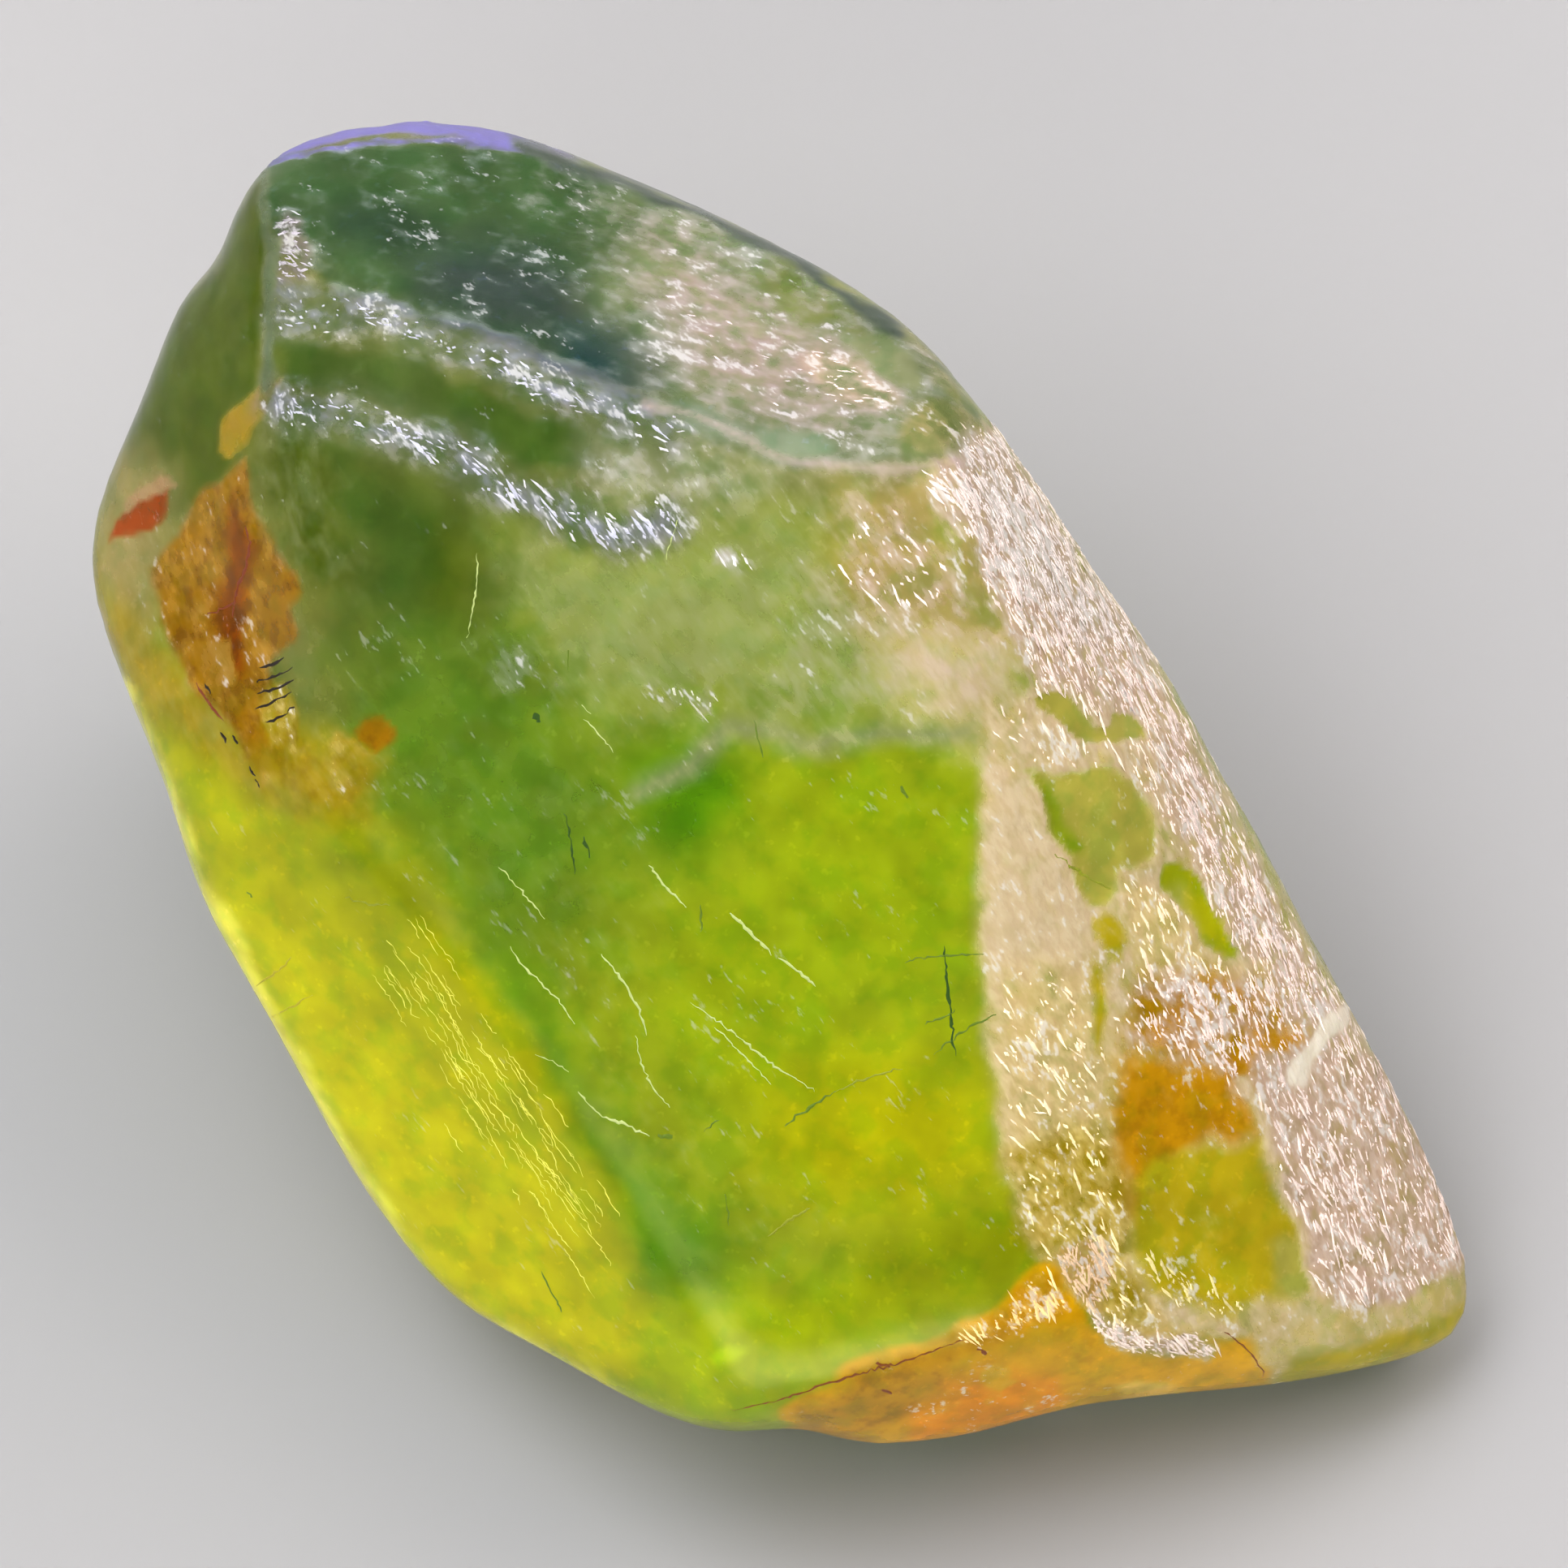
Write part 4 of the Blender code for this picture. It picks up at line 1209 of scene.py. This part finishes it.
def striations():
    """Bright parallel scratches across the flank, which run down to the right."""
    draw = np.random.default_rng(5)
    marks = []
    for _ in range(STRIATION_COUNT):
        along, across = draw.uniform(0, 1), draw.normal(0, 0.5)
        x = STRIATION_START[0] + STRIATION_RUN[0] * along + STRIATION_SPREAD[0] * across
        y = STRIATION_START[1] + STRIATION_RUN[1] * along + STRIATION_SPREAD[1] * across
        run = draw.uniform(*STRIATION_LENGTH)
        turn = math.radians(STRIATION_SLOPE) + draw.normal(0, STRIATION_STRAY)
        bend = draw.normal(0, STRIATION_BEND)
        end = (x + run * math.cos(turn), y + run * math.sin(turn))
        middle = ((x + end[0]) / 2 + bend, (y + end[1]) / 2 - bend)
        marks.append(Mark([(x, y), middle, end], draw.uniform(*STRIATION_WIDTH), STRAW))
    return marks


def make_skin_details(stone):
    """The chips, scratches and needles on the stone's skin."""
    skin = stone_skin(stone.data)
    pits, slant = read_attribute(stone.data, "pits"), read_attribute(stone.data, "slant")
    flake_finish = chip_finish("bright flakes", roughness=0.22, gloss_spread=0.2, speck_size=0.00006)
    scratch_finish = chip_finish("pale scratches", roughness=0.35, gloss_spread=0.2, speck_size=0.00005)
    dark_finish = chip_finish("dark needles", roughness=0.45, gloss_spread=0.2, speck_size=0.00005)
    small = {"count": 3200, "sizes": SMALL_CHIP, "jitter": 0.25, "sink": 0.35, "brighten": 0.25, "seed": 71}
    large = {"count": 1300, "sizes": LONG_CHIP, "jitter": 0.16, "sink": 0.3, "brighten": 0.22, "seed": 72}
    slivers("bright_flakes", stone, np.clip(pits - 0.4, 0, 1) ** 1.4, flake_finish, **small)
    slivers("long_flakes", stone, slant * np.clip(pits - 0.42, 0, 1), flake_finish, **large)
    ribs("pale_scratches", SCRATCHES + striations(), skin, scratch_finish, rise=0.012, seed=73)
    ribs("dark_needles", NEEDLES + stain_marks(), skin, dark_finish, rise=0.008, seed=74)


def read_attribute(mesh, name):
    values = np.empty(len(mesh.vertices))
    mesh.attributes[name].data.foreach_get("value", values)
    return values


# Room


def floor_finish():
    material, _, shader = new_material("pale floor")
    shader.inputs["Base Color"].default_value = FLOOR_COLOUR
    shader.inputs["Roughness"].default_value = 0.9
    return material


def make_floor():
    """A plain floor, a hair below the stone."""
    mesh = bmesh.new()
    bmesh.ops.create_grid(mesh, x_segments=2, y_segments=2, size=FLOOR_HALF_SIDE)
    data = bpy.data.meshes.new("floor")
    mesh.to_mesh(data)
    mesh.free()
    data.materials.append(floor_finish())
    floor = bpy.data.objects.new("floor", data)
    floor.location.z = -FLOOR_GAP
    bpy.context.scene.collection.objects.link(floor)


def make_camera():
    """The camera where the photograph was taken from, with the photograph's frame."""
    data = bpy.data.cameras.new("camera")
    data.sensor_width = 36
    half_width = PHOTO_SIDE * MM_PER_PIXEL / 2 * MM
    data.angle = 2 * math.atan(half_width / CAMERA_DISTANCE)
    data.clip_start = 0.01
    camera = bpy.data.objects.new("camera", data)
    off_u = (PHOTO_SIDE / 2 - PHOTO_MIDDLE[0]) * MM_PER_PIXEL
    off_v = (PHOTO_MIDDLE[1] - PHOTO_SIDE / 2) * MM_PER_PIXEL
    eye = to_room([(off_u, off_v, GIRDLE_PLANE)])[0] + AXES[:, 2] * CAMERA_DISTANCE
    turn = Matrix([tuple(row) for row in AXES]).to_4x4()
    camera.matrix_world = Matrix.Translation(Vector(eye)) @ turn
    bpy.context.scene.collection.objects.link(camera)
    bpy.context.scene.camera = camera


def soft_light(name, from_side, size, power, colour, mirrored=False):
    """A soft light that looks at the stone from a side given in the broad side's axes.

    A light that isn't mirrored only fills, and leaves no highlight along the stone's edges."""
    data = bpy.data.lights.new(name, "AREA")
    data.shape = "RECTANGLE"
    data.size, data.size_y = size
    data.energy = power
    data.color = colour
    light = bpy.data.objects.new(name, data)
    way = Vector(AXES @ np.array(from_side)).normalized()
    light.location = Vector(MIDDLE) + way * LIGHT_DISTANCE
    light.rotation_euler = way.to_track_quat("Z", "Y").to_euler()
    light.visible_glossy = mirrored
    bpy.context.scene.collection.objects.link(light)


def make_lights():
    """A dim even sky and five soft lights, of which only the gleam shows in the stone's gloss."""
    world = bpy.data.worlds.new("soft room")
    bpy.context.scene.world = world
    world.use_nodes = True
    sky = world.node_tree.nodes["Background"]
    sky.inputs["Color"].default_value = SKY_COLOUR
    sky.inputs["Strength"].default_value = SKY_STRENGTH
    warm = {"from_side": (0.65, 0.62, 0.42), "size": (0.60, 0.45), "colour": (1.0, 0.90, 0.84)}
    cool = {"from_side": (-0.25, 1.0, 0.95), "size": (0.80, 0.50), "colour": (0.86, 0.87, 1.0)}
    left = {"from_side": (-0.62, 0.5, 0.75), "size": (0.70, 0.70), "colour": (1.0, 0.98, 0.96)}
    below = {"from_side": (-0.15, -0.85, 0.5), "size": (0.60, 0.40), "colour": (1.0, 0.98, 0.92)}
    soft_light("warm light from the upper right", power=4.4, **warm)
    soft_light("gleam from the upper right", power=1.6, **warm, mirrored=True)
    soft_light("cool light from behind", power=5.0, **cool)
    soft_light("fill from the upper left", power=6.4, **left)
    soft_light("fill from below the stone", power=6.4, **below)


def main():
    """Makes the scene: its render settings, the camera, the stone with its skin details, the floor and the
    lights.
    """
    scene = bpy.context.scene
    scene.view_settings.view_transform = "Standard"
    scene.cycles.use_denoising = True
    scene.cycles.adaptive_threshold = 0.05
    scene.cycles.adaptive_min_samples = 8
    scene.cycles.max_bounces = 6
    scene.cycles.diffuse_bounces = 2
    scene.cycles.glossy_bounces = 2
    scene.cycles.transmission_bounces = 5
    make_camera()
    make_skin_details(make_stone())
    make_floor()
    make_lights()


main()
